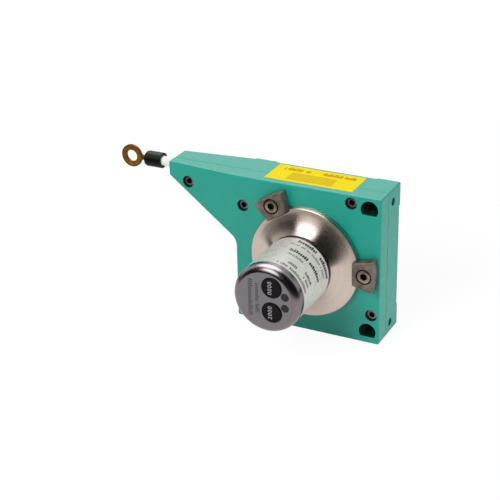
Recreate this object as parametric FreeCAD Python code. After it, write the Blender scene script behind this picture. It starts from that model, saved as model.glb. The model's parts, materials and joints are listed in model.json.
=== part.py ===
import FreeCAD, Part
import math
import os

from FreeCAD import Vector

# Draw wire encoder, in millimetres.
# The origin is on the drum axis, in the plane of the rear mounting pads. The drum axis is Y,
# the encoder stands out of the housing towards -Y, the wire leaves towards -X, and Z is up.

# Fits and clearances, and how far a cut runs beyond the solid
FIT_GAP = 0.05
SLIP_GAP = 0.1
RUN_GAP = 0.3
END_GAP = 0.5
OVERCUT = 1.0

# Housing, a square body with a nose
HOUSING_SIDE = 78.5
HOUSING_DEPTH = 23.8
HOUSING_WALL = 2.35
COVER_DEPTH = 9.4
REAR_WALL = 3.0
COVER_WEB = 2.1
FRONT_ROUND = 0.6
PARTING_BEVEL = 0.3
CORNER_RADIUS = 0.8
PAD_SIZE = 12.0
PAD_HEIGHT = 1.0

# Nose of the housing, from the square's left side to the tip
NOSE_LENGTH = 39.6
NOSE_TIP_HEIGHT = 7.6
NOSE_ROOT_Z = 3.9
NOSE_CORNER_RADIUS = 7.0
NOSE_FRONT_TAPER = 3.5
NOSE_REAR_TAPER = 4.4
NOSE_WEDGE_REACH = 1.5
NOSE_WEDGE_OVERRUN = 0.1

# D-shaped mounting pockets, open to the front
POCKET_FROM_SIDE = 6.2
POCKET_FROM_TOP = 6.2
POCKET_RADIUS = 4.5
POCKET_FLAT = 2.8
POCKET_FLOOR = 6.0
MOUNT_HOLE_RADIUS = 2.25
SIDE_HOLE_RADIUS = 2.1
SIDE_HOLE_FROM_REAR = 8.5

# Cover screws, M3 socket head
COVER_SCREW_FROM_CAVITY = 5.2
COVER_SCREW_FIRST_ANGLE = 56.0
COVER_SCREW_HEAD_RADIUS = 2.75
COVER_SCREW_HEAD_HEIGHT = 3.0
COVER_SCREW_RADIUS = 1.5
COVER_SCREW_REACH = 14.0
COVER_SCREW_KEY = 2.5
COVER_SCREW_SINK = 5.0
COVER_SCREW_CLEARANCE = 0.35
NOSE_SCREW_FROM_TIP = 11.5
NOSE_SCREW_BELOW_TOP = 9.25
SCREW_BEVEL_SHARE = 0.12
SCREW_KEY_SHARE = 0.6

# Seal cord between the housing halves
SEAL_WIDTH = 0.9
SEAL_DEPTH = 0.8
SEAL_FROM_CAVITY = 0.4

# Drum and wire
WIRE_RADIUS = 0.4
WINDING_WIDTH = 8.0
DRUM_CLEARANCE = 0.6
DRUM_FLANGE_HEIGHT = 1.7
DRUM_FLANGE_THICKNESS = 1.0
DRUM_WEB = 2.0
DRUM_RIM = 2.3
DRUM_HUB_RADIUS = 9.0
DRUM_HUB_FRONT_WALL = 2.0
DRUM_HOLE_RADIUS = 4.0
DRUM_HOLE_CIRCLE = 21.0
DRUM_HOLES = 6
WIRE_CHANNEL_RADIUS = 1.2

# Drum shaft and its ball bearings, 10 x 19 x 5
DRUM_SHAFT_RADIUS = 5.0
DRUM_BEARING_RADIUS = 9.5
DRUM_BEARING_WIDTH = 5.0
BEARING_LIP = 0.6
BEARING_LIP_HEIGHT = 1.0
BOSS_WALL = 2.5

# Ring heights and shield depth of a ball bearing, as shares of its height and width
BEARING_INNER_SHARE = 0.3
BEARING_OUTER_SHARE = 0.28
BEARING_SHIELD_SHARE = 0.07

# Spiral spring, its arbor and the drum's spring cover
ARBOR_WALL = 1.5
ARBOR_SLOT = 0.7
SPRING_THICKNESS = 0.35
SPRING_TURNS = 9
SPRING_COVER_THICKNESS = 0.8
SPRING_COVER_GAP = 1.2

# Wire nozzle and wiper
NOZZLE_RADIUS = 2.6
NOZZLE_BORE = 0.75
NOZZLE_INSIDE = 7.0
NOZZLE_OUTSIDE = 10.0
NOZZLE_TIP = 1.4
NOZZLE_TIP_RUN = 0.42
NOZZLE_TIP_DROP = 0.49
NOZZLE_COLLAR_RADIUS = 3.2
NOZZLE_COLLAR_LENGTH = 1.4
NOZZLE_COLLAR_DEPTH = 4.0
WIPER_LENGTH = 2.0
WIPER_BORE = 0.55

# Wire end: sleeve, ferrule and ring terminal
SLEEVE_RADIUS = 4.1
SLEEVE_LENGTH = 10.0
SLEEVE_ROUND = 1.4
SLEEVE_OVERLAP = 1.7
SLEEVE_SOCKET_WALL = 1.1
BARREL_RADIUS = 2.0
BARREL_BORE = 1.3
BARREL_LENGTH = 7.5
FERRULE_LENGTH = 5.0
RING_RADIUS = 6.1
RING_EYE_RADIUS = 3.2
RING_THICKNESS = 1.2
NECK_WIDTH = 2.6
NECK_LENGTH = 2.85

# Encoder flange and pilot: a flat rim for the clamps, and a cone that rises to the tube
FLANGE_RADIUS = 29.0
FLANGE_THICKNESS = 3.3
FLANGE_BEVEL = 0.5
FLANGE_RIM = 4.0
CONE_HEIGHT = 5.7
PILOT_RADIUS = 25.0
PILOT_LENGTH = 3.0
SPIGOT_LENGTH = 5.5
HUB_STEP = 0.9
HUB_LENGTH = 13.6

# Synchro clamps and their M4 screws
CLAMPS = 3
CLAMP_SCREW_FROM_RIM = 3.9
CLAMP_OVER_RIM = 2.3
CLAMP_BEYOND_RIM = 9.0
CLAMP_HALF_ANGLE = 12.8
CLAMP_LIP = 2.5
CLAMP_BEVEL = 0.5
CLAMP_SINK = 3.2
CLAMP_SCREW_HEAD_RADIUS = 3.5
CLAMP_SCREW_HEAD_HEIGHT = 3.2
CLAMP_SCREW_RADIUS = 2.0
CLAMP_SCREW_GRIP = 4.4
CLAMP_SCREW_KEY = 3.0
CLAMP_SCREW_CLEARANCE = 0.6

# Encoder body
TUBE_RADIUS = 17.2
TUBE_WALL = 1.2
TUBE_GROOVE = 2.3
LABEL_THICKNESS = 0.12
LABEL_GAP = 0.01
LABEL_START_ANGLE = -75.0
LABEL_SPAN = 270.0
LABEL_MARGIN = 0.6
ENCODER_LENGTH = 43.8
CAP_OVER_TUBE = 0.2
CAP_LENGTH = 6.3
CAP_ROUND = 4.0
CAP_WALL = 2.5
CAP_SPIGOT_LENGTH = 5.0
CAP_SPIGOT_WALL = 1.4
O_RING_WIDTH = 1.2
O_RING_BEVEL_SHARE = 0.4

# Face of the cap; the shares are of the face plate's radius
CAP_RIM = 3.0
PLATE_THICKNESS = 0.6
PLATE_PROUD = 0.1
BUTTON_SHARE = 0.35
BUTTON_X_SHARE = 0.26
BUTTON_PITCH_SHARE = 0.9
BUTTON_PROUD = 0.8
BUTTON_BEVEL = 0.5
BUTTON_FLANGE = 0.7
BUTTON_FLANGE_THICKNESS = 1.0
BUTTON_TRAVEL = 0.5
FACE_MIDDLE_Z = 1.0
WINDOW_SHARE = 0.14
WINDOW_X_SHARE = 0.735
WINDOW_PITCH_SHARE = 0.4

# Encoder shaft and its ball bearings, 6 x 13 x 5
ENCODER_SHAFT_RADIUS = 3.0
SHAFT_FLAT = 0.5
SHAFT_ENTRY = 10.0
ENCODER_BEARING_RADIUS = 6.5
ENCODER_BEARING_WIDTH = 5.0
SHAFT_SEAL_WIDTH = 2.0
SPACER_LENGTH = 5.0
SPACER_WALL = 1.0
RETAINING_RING_THICKNESS = 0.8
RETAINING_RING_GROOVE = 0.4

# Sensor and boards
MAGNET_RADIUS = 3.0
MAGNET_LENGTH = 2.5
MAGNET_HOLDER_WALL = 1.4
MAGNET_HOLDER_LENGTH = 5.0
MAGNET_AIR_GAP = 1.6
BOARD_THICKNESS = 1.6
BOARD_SPACING = 5.6
KEY_BOARD_STEP = 0.6
STANDOFFS = 3
STANDOFF_RADIUS = 1.6
STANDOFF_FIRST_ANGLE = 60.0
KEY_POST_ANGLES = (120.0, 180.0, 240.0)
KEY_SWITCH_SIZE = 4.2
KEY_SWITCH_HEIGHT = 1.4
LED_RADIUS = 1.5

# Cable gland on the encoder tube
GLAND_ANGLE = 225.0
GLAND_FROM_FLANGE = 20.0
GLAND_HEX = 14.0
GLAND_BASE_LENGTH = 3.0
GLAND_THREAD_RADIUS = 5.6
GLAND_BODY_LENGTH = 6.5
GLAND_SEAL_RADIUS = 4.4
GLAND_NECK_RADIUS = 3.6
GLAND_CABLE_RADIUS = 3.0
GLAND_NUT_HEX = 13.0
GLAND_NUT_LENGTH = 8.2
GLAND_NUT_DOME = 2.9
GLAND_NUT_MOUTH_RADIUS = 5.6

# Sticker on the top face
STICKER_FROM_LEFT = 14.7
STICKER_FROM_RIGHT = 16.8
STICKER_FROM_FRONT = 3.7
STICKER_FROM_REAR = 1.4
STICKER_THICKNESS = 0.12

# Planes along the drum axis
FRONT_Y = -(PAD_HEIGHT + HOUSING_DEPTH)
REAR_Y = -PAD_HEIGHT
PARTING_Y = FRONT_Y + COVER_DEPTH
FLOOR_Y = REAR_Y - REAR_WALL
PILOT_SEAT_Y = FRONT_Y + PILOT_LENGTH + SLIP_GAP
COVER_INNER_Y = PILOT_SEAT_Y + COVER_WEB
WIRE_Y = (FRONT_Y + REAR_Y) / 2
FLANGE_FRONT_Y = FRONT_Y - FLANGE_THICKNESS
CLAMP_FRONT_Y = FLANGE_FRONT_Y - CLAMP_LIP
COVER_SCREW_END_Y = FRONT_Y + COVER_SCREW_SINK + COVER_SCREW_REACH

# Outline of the housing
LEFT_X = -HOUSING_SIDE / 2
RIGHT_X = HOUSING_SIDE / 2
TOP_Z = HOUSING_SIDE / 2
BOTTOM_Z = -HOUSING_SIDE / 2
TIP_X = LEFT_X - NOSE_LENGTH

# Across the drum axis: the cavity fills the housing, the drum fills the cavity, and the wire
# leaves as a tangent of the drum
CAVITY_RADIUS = HOUSING_SIDE / 2 - HOUSING_WALL
COVER_SCREW_CIRCLE = CAVITY_RADIUS + COVER_SCREW_FROM_CAVITY
DRUM_OUTER = CAVITY_RADIUS - DRUM_CLEARANCE
BARREL_OUTER = DRUM_OUTER - DRUM_FLANGE_HEIGHT
DRUM_INNER = BARREL_OUTER - DRUM_RIM
WIRE_PATH_RADIUS = BARREL_OUTER + WIRE_RADIUS
WIRE_Z = WIRE_PATH_RADIUS

# Drum bearings: the front one rests on a lip of the cover, the rear one on the housing's boss
FRONT_BEARING_Y = PILOT_SEAT_Y + BEARING_LIP
FRONT_BEARING_END = FRONT_BEARING_Y + DRUM_BEARING_WIDTH
REAR_BEARING_END = FLOOR_Y - BEARING_LIP_HEIGHT / 2
REAR_BEARING_Y = REAR_BEARING_END - DRUM_BEARING_WIDTH
BOSS_RADIUS = DRUM_BEARING_RADIUS + BOSS_WALL

# Drum: web just behind the front bearing's boss, winding centred on the wire
WEB_FRONT_Y = FRONT_BEARING_END + END_GAP
WEB_REAR_Y = WEB_FRONT_Y + DRUM_WEB
WINDING_FRONT_Y = WIRE_Y - WINDING_WIDTH / 2
WINDING_REAR_Y = WIRE_Y + WINDING_WIDTH / 2
DRUM_FRONT_Y = WINDING_FRONT_Y - DRUM_FLANGE_THICKNESS
DRUM_FLANGE_REAR_Y = WINDING_REAR_Y + DRUM_FLANGE_THICKNESS
DRUM_REAR_Y = FLOOR_Y - SPRING_COVER_GAP - SPRING_COVER_THICKNESS

# Spring chamber inside the drum
ARBOR_INNER = BOSS_RADIUS + FIT_GAP
ARBOR_OUTER = ARBOR_INNER + ARBOR_WALL
SPRING_FRONT_Y = WEB_REAR_Y + END_GAP
SPRING_REAR_Y = DRUM_REAR_Y - END_GAP

# Clamps, from the flange's rim
CLAMP_CIRCLE = FLANGE_RADIUS + CLAMP_SCREW_FROM_RIM
CLAMP_INNER = FLANGE_RADIUS - CLAMP_OVER_RIM
CLAMP_OUTER = FLANGE_RADIUS + CLAMP_BEYOND_RIM

# Encoder planes
CONE_TOP_Y = FLANGE_FRONT_Y - CONE_HEIGHT
TUBE_FRONT_Y = CONE_TOP_Y - TUBE_GROOVE
CAP_FACE_Y = FLANGE_FRONT_Y - ENCODER_LENGTH
CAP_SEAT_Y = CAP_FACE_Y + CAP_LENGTH
CAP_INNER_Y = CAP_FACE_Y + CAP_WALL
TUBE_INNER = TUBE_RADIUS - TUBE_WALL
SPIGOT_RADIUS = TUBE_INNER - SLIP_GAP
HUB_RADIUS = SPIGOT_RADIUS - HUB_STEP
CAP_RADIUS = TUBE_RADIUS + CAP_OVER_TUBE
CAP_SPIGOT_INNER = SPIGOT_RADIUS - CAP_SPIGOT_WALL
BOARD_RADIUS = CAP_SPIGOT_INNER - END_GAP
KEY_BOARD_RADIUS = BOARD_RADIUS - KEY_BOARD_STEP
STANDOFF_CIRCLE = KEY_BOARD_RADIUS - STANDOFF_RADIUS
HUB_END_Y = FLANGE_FRONT_Y - HUB_LENGTH
PILOT_END_Y = FRONT_Y + PILOT_LENGTH
GLAND_Y = FLANGE_FRONT_Y - GLAND_FROM_FLANGE
GLAND_BASE_X = TUBE_RADIUS + SLIP_GAP
GLAND_THREAD_X = GLAND_BASE_X + GLAND_BASE_LENGTH
GLAND_END_X = GLAND_THREAD_X + GLAND_BODY_LENGTH

# Encoder bearing stack, from the pilot towards the cap
SEAL_END_Y = PILOT_END_Y - SHAFT_SEAL_WIDTH
BEARING_1_Y = SEAL_END_Y - SLIP_GAP
BEARING_1_END = BEARING_1_Y - ENCODER_BEARING_WIDTH
BEARING_2_Y = BEARING_1_END - SPACER_LENGTH
BEARING_2_END = BEARING_2_Y - ENCODER_BEARING_WIDTH
RING_Y = BEARING_2_END - SLIP_GAP
RING_END_Y = RING_Y - RETAINING_RING_THICKNESS

# Sensor stack behind the hub
MAGNET_HOLDER_Y = HUB_END_Y - END_GAP
MAGNET_HOLDER_END = MAGNET_HOLDER_Y - MAGNET_HOLDER_LENGTH
SENSOR_BOARD_Y = MAGNET_HOLDER_END - MAGNET_AIR_GAP
SENSOR_BOARD_END = SENSOR_BOARD_Y - BOARD_THICKNESS
MAIN_BOARD_Y = SENSOR_BOARD_END - BOARD_SPACING
MAIN_BOARD_END = MAIN_BOARD_Y - BOARD_THICKNESS
BUTTON_FLANGE_Y = CAP_INNER_Y + SLIP_GAP
BUTTON_INNER_Y = BUTTON_FLANGE_Y + BUTTON_FLANGE_THICKNESS
KEY_SWITCH_Y = BUTTON_INNER_Y + BUTTON_TRAVEL + SLIP_GAP
KEY_BOARD_FACE_Y = KEY_SWITCH_Y + KEY_SWITCH_HEIGHT
KEY_BOARD_REAR_Y = KEY_BOARD_FACE_Y + BOARD_THICKNESS

# Face of the cap: two buttons one above the other, and two windows beside them
PLATE_RADIUS = CAP_RADIUS - CAP_RIM
BUTTON_RADIUS = PLATE_RADIUS * BUTTON_SHARE
BUTTON_X = PLATE_RADIUS * BUTTON_X_SHARE
BUTTON_RISE = PLATE_RADIUS * BUTTON_PITCH_SHARE / 2
BUTTON_SPOTS = [
    (BUTTON_X, FACE_MIDDLE_Z + BUTTON_RISE),
    (BUTTON_X, FACE_MIDDLE_Z - BUTTON_RISE),
]
WINDOW_RADIUS = PLATE_RADIUS * WINDOW_SHARE
WINDOW_X = PLATE_RADIUS * WINDOW_X_SHARE
WINDOW_RISE = PLATE_RADIUS * WINDOW_PITCH_SHARE / 2
WINDOW_SPOTS = [
    (WINDOW_X, FACE_MIDDLE_Z + WINDOW_RISE),
    (WINDOW_X, FACE_MIDDLE_Z - WINDOW_RISE),
]

# Wire end: the sleeve's socket covers the nozzle's tip
NOZZLE_END_X = TIP_X - NOZZLE_OUTSIDE
SLEEVE_RIGHT_X = NOZZLE_END_X + SLEEVE_OVERLAP
SLEEVE_LEFT_X = SLEEVE_RIGHT_X - SLEEVE_LENGTH
SOCKET_END_X = NOZZLE_END_X - RUN_GAP
BARREL_LEFT_X = SLEEVE_LEFT_X + SLIP_GAP
BARREL_RIGHT_X = BARREL_LEFT_X + BARREL_LENGTH
RING_X = BARREL_LEFT_X - NECK_LENGTH - RING_RADIUS

# Mounting pockets: two at the right end and one below the nose
POCKET_SPOTS = [
    (RIGHT_X - POCKET_FROM_SIDE, TOP_Z - POCKET_FROM_TOP),
    (RIGHT_X - POCKET_FROM_SIDE, BOTTOM_Z + POCKET_FROM_TOP),
    (LEFT_X + POCKET_FROM_SIDE, BOTTOM_Z + POCKET_FROM_TOP),
]
MOUNT_HOLE_RISE = (POCKET_RADIUS - POCKET_FLAT) / 2
SIDE_HOLE_RISE = SIDE_HOLE_RADIUS + 2 * SLIP_GAP - POCKET_FLAT


def rod(radius, start_y, end_y, x=0.0, z=0.0):
    """A cylinder along Y."""
    return Part.makeCylinder(radius, end_y - start_y, Vector(x, start_y, z), Vector(0, 1, 0))


def pipe(outer, inner, start_y, end_y, x=0.0, z=0.0):
    """A tube along Y."""
    return rod(outer, start_y, end_y, x, z).cut(rod(inner, start_y, end_y, x, z))


def block(x_span, y_span, z_span):
    """A box between the two values of each span."""
    size = [abs(span[1] - span[0]) for span in (x_span, y_span, z_span)]
    corner = Vector(min(x_span), min(y_span), min(z_span))
    return Part.makeBox(*size, corner)


def on_circle(radius, degrees):
    """The X and Z of a point on a circle about the drum axis."""
    angle = math.radians(degrees)
    return radius * math.cos(angle), radius * math.sin(angle)


def closed_face(points):
    """A flat face from its corner points."""
    return Part.Face(Part.makePolygon(points + points[:1]))


def turned_about_y(profile, x=0.0, z=0.0):
    """A turned solid about an axis along Y, from (radius, y) corners."""
    face = closed_face([Vector(radius, y, 0) for radius, y in profile])
    solid = face.revolve(Vector(0, 0, 0), Vector(0, 1, 0), 360)
    solid.translate(Vector(x, 0, z))
    return solid


def turned_about_wire(profile):
    """A turned solid about the wire's line, from (x, radius) corners."""
    face = closed_face([Vector(x, 0, radius) for x, radius in profile])
    solid = face.revolve(Vector(0, 0, 0), Vector(1, 0, 0), 360)
    solid.translate(Vector(0, WIRE_Y, WIRE_Z))
    return solid


def hexagon(width, start_y, end_y, x=0.0, z=0.0):
    """A hexagonal prism along Y, measured across its flats."""
    corner = width / 2 / math.cos(math.radians(30))
    points = []
    for turn in range(6):
        dx, dz = on_circle(corner, 60 * turn + 30)
        points.append(Vector(x + dx, start_y, z + dz))
    return closed_face(points).extrude(Vector(0, end_y - start_y, 0))


def edges_within(solid, low_y, high_y):
    """The edges of a solid whose ends lie between two planes across Y."""
    slack = 0.001
    found = []
    for edge in solid.Edges:
        heights = [vertex.Y for vertex in edge.Vertexes]
        if heights and min(heights) > low_y - slack and max(heights) < high_y + slack:
            found.append(edge)
    return found


def spans_x(edge, x):
    """True where an edge has an end away from a plane across X."""
    return any(abs(vertex.X - x) > 0.001 for vertex in edge.Vertexes)


def turned_to(solid, degrees):
    """A solid made along +X, turned about the drum axis to an angle from +X towards +Z."""
    solid = solid.copy()
    solid.rotate(Vector(0, 0, 0), Vector(0, -1, 0), degrees)
    return solid


def save(name, solids):
    """Writes one STEP file for a node."""
    shape = solids[0] if len(solids) == 1 else Part.makeCompound(solids)
    shape.exportStep("parts/" + name + ".step")


def housing_block():
    """The whole housing without hollows: a square block with a nose, as one prism."""
    tip_low_z = TOP_Z - NOSE_TIP_HEIGHT
    outline = [
        (TIP_X, TOP_Z),
        (RIGHT_X, TOP_Z),
        (RIGHT_X, BOTTOM_Z),
        (LEFT_X, BOTTOM_Z),
        (LEFT_X, NOSE_ROOT_Z),
        (TIP_X, tip_low_z),
    ]
    face = closed_face([Vector(x, FRONT_Y, z) for x, z in outline])
    solid = face.extrude(Vector(0, -FRONT_Y, 0))
    corners = []
    for edge in solid.Edges:
        first, last = edge.Vertexes[0], edge.Vertexes[-1]
        if abs(first.Y - last.Y) > HOUSING_DEPTH / 2:
            corners.append((edge, (round(first.X, 3), round(first.Z, 3))))
    inner = [edge for edge, spot in corners if spot == (round(LEFT_X, 3), round(NOSE_ROOT_Z, 3))]
    solid = solid.makeFillet(NOSE_CORNER_RADIUS, inner)
    square = {(round(x, 3), round(z, 3)) for x, z in outline[:4]}
    outer = []
    for edge in solid.Edges:
        first, last = edge.Vertexes[0], edge.Vertexes[-1]
        tall = abs(first.Y - last.Y) > HOUSING_DEPTH / 2
        if tall and (round(first.X, 3), round(first.Z, 3)) in square:
            outer.append(edge)
    solid = solid.makeFillet(CORNER_RADIUS, outer)
    solid = solid.cut(nose_wedge(FRONT_Y, NOSE_FRONT_TAPER))
    return solid.cut(nose_wedge(REAR_Y, -NOSE_REAR_TAPER)).Solids[0]


def nose_wedge(face_y, taper):
    """What a sloped face of the nose takes away, from the nose's root to beyond its tip."""
    outside = face_y - math.copysign(NOSE_WEDGE_REACH, taper)
    beyond_x = TIP_X - NOSE_LENGTH * NOSE_WEDGE_OVERRUN
    beyond_y = face_y + taper * (1 + NOSE_WEDGE_OVERRUN)
    points = [
        Vector(LEFT_X, face_y, BOTTOM_Z),
        Vector(beyond_x, beyond_y, BOTTOM_Z),
        Vector(beyond_x, outside, BOTTOM_Z),
        Vector(LEFT_X, outside, BOTTOM_Z),
    ]
    return closed_face(points).extrude(Vector(0, 0, HOUSING_SIDE))


def across_housing(start_y, end_y):
    """A block wider than the housing, between two planes across the drum axis."""
    return block(
        (TIP_X - OVERCUT, RIGHT_X + OVERCUT),
        (start_y, end_y),
        (BOTTOM_Z - OVERCUT, TOP_Z + OVERCUT),
    )


def pad_relief():
    """What lies between the rear pads, which stand in the corners of the square."""
    relief = across_housing(REAR_Y, OVERCUT)
    for x in (LEFT_X, RIGHT_X - PAD_SIZE):
        for z in (BOTTOM_Z, TOP_Z - PAD_SIZE):
            pad = block((x, x + PAD_SIZE), (REAR_Y, OVERCUT), (z, z + PAD_SIZE))
            relief = relief.cut(pad)
    return relief


def pocket(x, z):
    """A D-shaped pocket with its mounting hole, as the hollow that it leaves."""
    floor_y = REAR_Y - POCKET_FLOOR
    start_y = FRONT_Y - OVERCUT
    round_part = rod(POCKET_RADIUS, start_y, floor_y, x, z)
    below = block(
        (x - POCKET_RADIUS, x + POCKET_RADIUS),
        (start_y, floor_y),
        (z - POCKET_RADIUS, z - POCKET_FLAT),
    )
    hole = rod(MOUNT_HOLE_RADIUS, floor_y - OVERCUT, OVERCUT, x, z + MOUNT_HOLE_RISE)
    return round_part.cut(below).fuse(hole)


def side_hole(x, z):
    """The cross hole from the right end face into a pocket."""
    start = Vector(x, REAR_Y - SIDE_HOLE_FROM_REAR, z + SIDE_HOLE_RISE)
    return Part.makeCylinder(SIDE_HOLE_RADIUS, RIGHT_X - x + OVERCUT, start, Vector(1, 0, 0))


def cover_screw_spots():
    """Where the five cover screws stand: four on a circle and one in the nose."""
    spots = [on_circle(COVER_SCREW_CIRCLE, COVER_SCREW_FIRST_ANGLE + 90 * turn) for turn in range(4)]
    return spots + [(TIP_X + NOSE_SCREW_FROM_TIP, TOP_Z - NOSE_SCREW_BELOW_TOP)]


def cover_screw_seat_y(x):
    """The plane on which a cover screw's head rests."""
    beyond = max(0.0, LEFT_X - x)
    return FRONT_Y + COVER_SCREW_SINK + NOSE_FRONT_TAPER * beyond / NOSE_LENGTH


def socket_screw(spot, seat_y, head, shank, key):
    """A socket-head cap screw along Y; head and shank are (radius, length)."""
    x, z = spot
    top_y = seat_y - head[1]
    bevel = head[0] * SCREW_BEVEL_SHARE
    profile = [
        (0, top_y),
        (head[0] - bevel, top_y),
        (head[0], top_y + bevel),
        (head[0], seat_y),
        (shank[0], seat_y),
        (shank[0], seat_y + shank[1] - bevel),
        (shank[0] - bevel, seat_y + shank[1]),
        (0, seat_y + shank[1]),
    ]
    screw = turned_about_y(profile, x, z)
    return screw.cut(hexagon(key, top_y - OVERCUT, top_y + head[1] * SCREW_KEY_SHARE, x, z))


def nozzle_seat(clearance, open_front):
    """The hollow in the nose for nozzle and wiper; the rear half's is open towards the cover."""
    radius = NOZZLE_RADIUS + clearance
    collar = NOZZLE_COLLAR_RADIUS + clearance
    inner_x = TIP_X + NOZZLE_INSIDE + WIPER_LENGTH + SLIP_GAP
    collar_x = TIP_X + NOZZLE_COLLAR_DEPTH
    hollow = None
    for start, end, reach in (
        (TIP_X - OVERCUT, inner_x, radius),
        (collar_x - clearance, collar_x + NOZZLE_COLLAR_LENGTH + clearance, collar),
    ):
        bore = Part.makeCylinder(reach, end - start, Vector(start, WIRE_Y, WIRE_Z), Vector(1, 0, 0))
        if open_front:
            sides = (WIRE_Z - reach, WIRE_Z + reach)
            slot = block((start, end), (PARTING_Y - OVERCUT, WIRE_Y), sides)
            bore = bore.fuse(slot)
        hollow = bore if hollow is None else hollow.fuse(bore)
    return hollow


def wire_channel():
    """The bore from the drum's cavity to the nozzle."""
    start = Vector(TIP_X + NOZZLE_INSIDE, WIRE_Y, WIRE_Z)
    return Part.makeCylinder(WIRE_CHANNEL_RADIUS, -start.x, start, Vector(1, 0, 0))


def seal_ring(clearance):
    """The seal cord in its groove round the cavity; a clearance gives the groove."""
    inner = CAVITY_RADIUS + SEAL_FROM_CAVITY - clearance
    outer = CAVITY_RADIUS + SEAL_FROM_CAVITY + SEAL_WIDTH + clearance
    return pipe(outer, inner, PARTING_Y, PARTING_Y + SEAL_DEPTH + clearance)


def rear_housing(body):
    """The rear shell: back wall, bearing boss, pads and the nose's rear half."""
    shell = body.common(across_housing(PARTING_Y, OVERCUT)).Solids[0]
    shell = shell.makeChamfer(PARTING_BEVEL, edges_within(shell, PARTING_Y, PARTING_Y))
    shell = shell.cut(rod(CAVITY_RADIUS, PARTING_Y - OVERCUT, FLOOR_Y))
    shell = shell.fuse(rod(BOSS_RADIUS, REAR_BEARING_Y, FLOOR_Y + SLIP_GAP))
    seat_y = REAR_BEARING_Y - OVERCUT
    shell = shell.cut(rod(DRUM_BEARING_RADIUS + FIT_GAP, seat_y, REAR_BEARING_END))
    shell = shell.cut(rod(DRUM_BEARING_RADIUS - BEARING_LIP_HEIGHT, seat_y, FLOOR_Y))
    shell = shell.cut(pad_relief()).cut(wire_channel()).cut(nozzle_seat(FIT_GAP, True))
    shell = shell.cut(seal_ring(FIT_GAP))
    for x, z in POCKET_SPOTS:
        shell = shell.cut(pocket(x, z))
        if x > 0:
            shell = shell.cut(side_hole(x, z))
    for x, z in cover_screw_spots():
        hole_end = COVER_SCREW_END_Y + END_GAP
        shell = shell.cut(rod(COVER_SCREW_RADIUS + FIT_GAP, PARTING_Y - OVERCUT, hole_end, x, z))
    return shell.removeSplitter()


def front_cover(body):
    """The front shell: pilot recess, bearing boss, screw holes and the nose's front half."""
    shell = body.common(across_housing(FRONT_Y - OVERCUT, PARTING_Y)).Solids[0]
    front = edges_within(shell, FRONT_Y, FRONT_Y + NOSE_FRONT_TAPER)
    shell = shell.makeFillet(FRONT_ROUND, [edge for edge in front if spans_x(edge, LEFT_X)])
    shell = shell.makeChamfer(PARTING_BEVEL, edges_within(shell, PARTING_Y, PARTING_Y))
    inside_y = PARTING_Y + OVERCUT
    shell = shell.cut(rod(CAVITY_RADIUS, COVER_INNER_Y, inside_y))
    shell = shell.fuse(rod(BOSS_RADIUS, COVER_INNER_Y - SLIP_GAP, FRONT_BEARING_END))
    shell = shell.cut(rod(PILOT_RADIUS + FIT_GAP, FRONT_Y - OVERCUT, PILOT_SEAT_Y))
    shell = shell.cut(rod(DRUM_BEARING_RADIUS + FIT_GAP, FRONT_BEARING_Y, inside_y))
    shell = shell.cut(rod(DRUM_BEARING_RADIUS - BEARING_LIP_HEIGHT, FRONT_Y, inside_y))
    shell = shell.cut(nozzle_seat(FIT_GAP, False))
    for x, z in POCKET_SPOTS:
        shell = shell.cut(pocket(x, z))
    sink_radius = COVER_SCREW_HEAD_RADIUS + COVER_SCREW_CLEARANCE
    for x, z in cover_screw_spots():
        shell = shell.cut(rod(sink_radius, FRONT_Y - OVERCUT, cover_screw_seat_y(x), x, z))
        shell = shell.cut(rod(COVER_SCREW_RADIUS + FIT_GAP, FRONT_Y, inside_y, x, z))
    for turn in range(CLAMPS):
        x, z = on_circle(CLAMP_CIRCLE, turn * 360 / CLAMPS)
        shell = shell.cut(rod(CLAMP_SCREW_RADIUS + FIT_GAP, FRONT_Y - OVERCUT, PARTING_Y, x, z))
    return shell.removeSplitter()


def cover_screws():
    """Five socket-head screws that hold the cover."""
    screws = []
    for x, z in cover_screw_spots():
        seat_y = cover_screw_seat_y(x)
        shank = (COVER_SCREW_RADIUS, COVER_SCREW_END_Y - seat_y)
        head = (COVER_SCREW_HEAD_RADIUS, COVER_SCREW_HEAD_HEIGHT)
        screws.append(socket_screw((x, z), seat_y, head, shank, COVER_SCREW_KEY))
    return screws


def top_sticker():
    """The sticker on the top face."""
    return block(
        (LEFT_X + STICKER_FROM_LEFT, RIGHT_X - STICKER_FROM_RIGHT),
        (FRONT_Y + STICKER_FROM_FRONT, REAR_Y - STICKER_FROM_REAR),
        (TOP_Z, TOP_Z + STICKER_THICKNESS),
    )


def ball_bearing(bore, outside, start_y, width):
    """Outer ring with its shields, and inner ring, of a shielded ball bearing."""
    height = outside - bore
    inner_top = bore + height * BEARING_INNER_SHARE
    outer_low = outside - height * BEARING_OUTER_SHARE
    shield = width * BEARING_SHIELD_SHARE
    end_y = start_y + width
    outer = turned_about_y(
        [
            (outside, start_y),
            (outside, end_y),
            (inner_top + SLIP_GAP, end_y),
            (inner_top + SLIP_GAP, end_y - shield),
            (outer_low, end_y - shield),
            (outer_low, start_y + shield),
            (inner_top + SLIP_GAP, start_y + shield),
            (inner_top + SLIP_GAP, start_y),
        ]
    )
    return outer, pipe(inner_top, bore + FIT_GAP, start_y, end_y)


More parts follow.
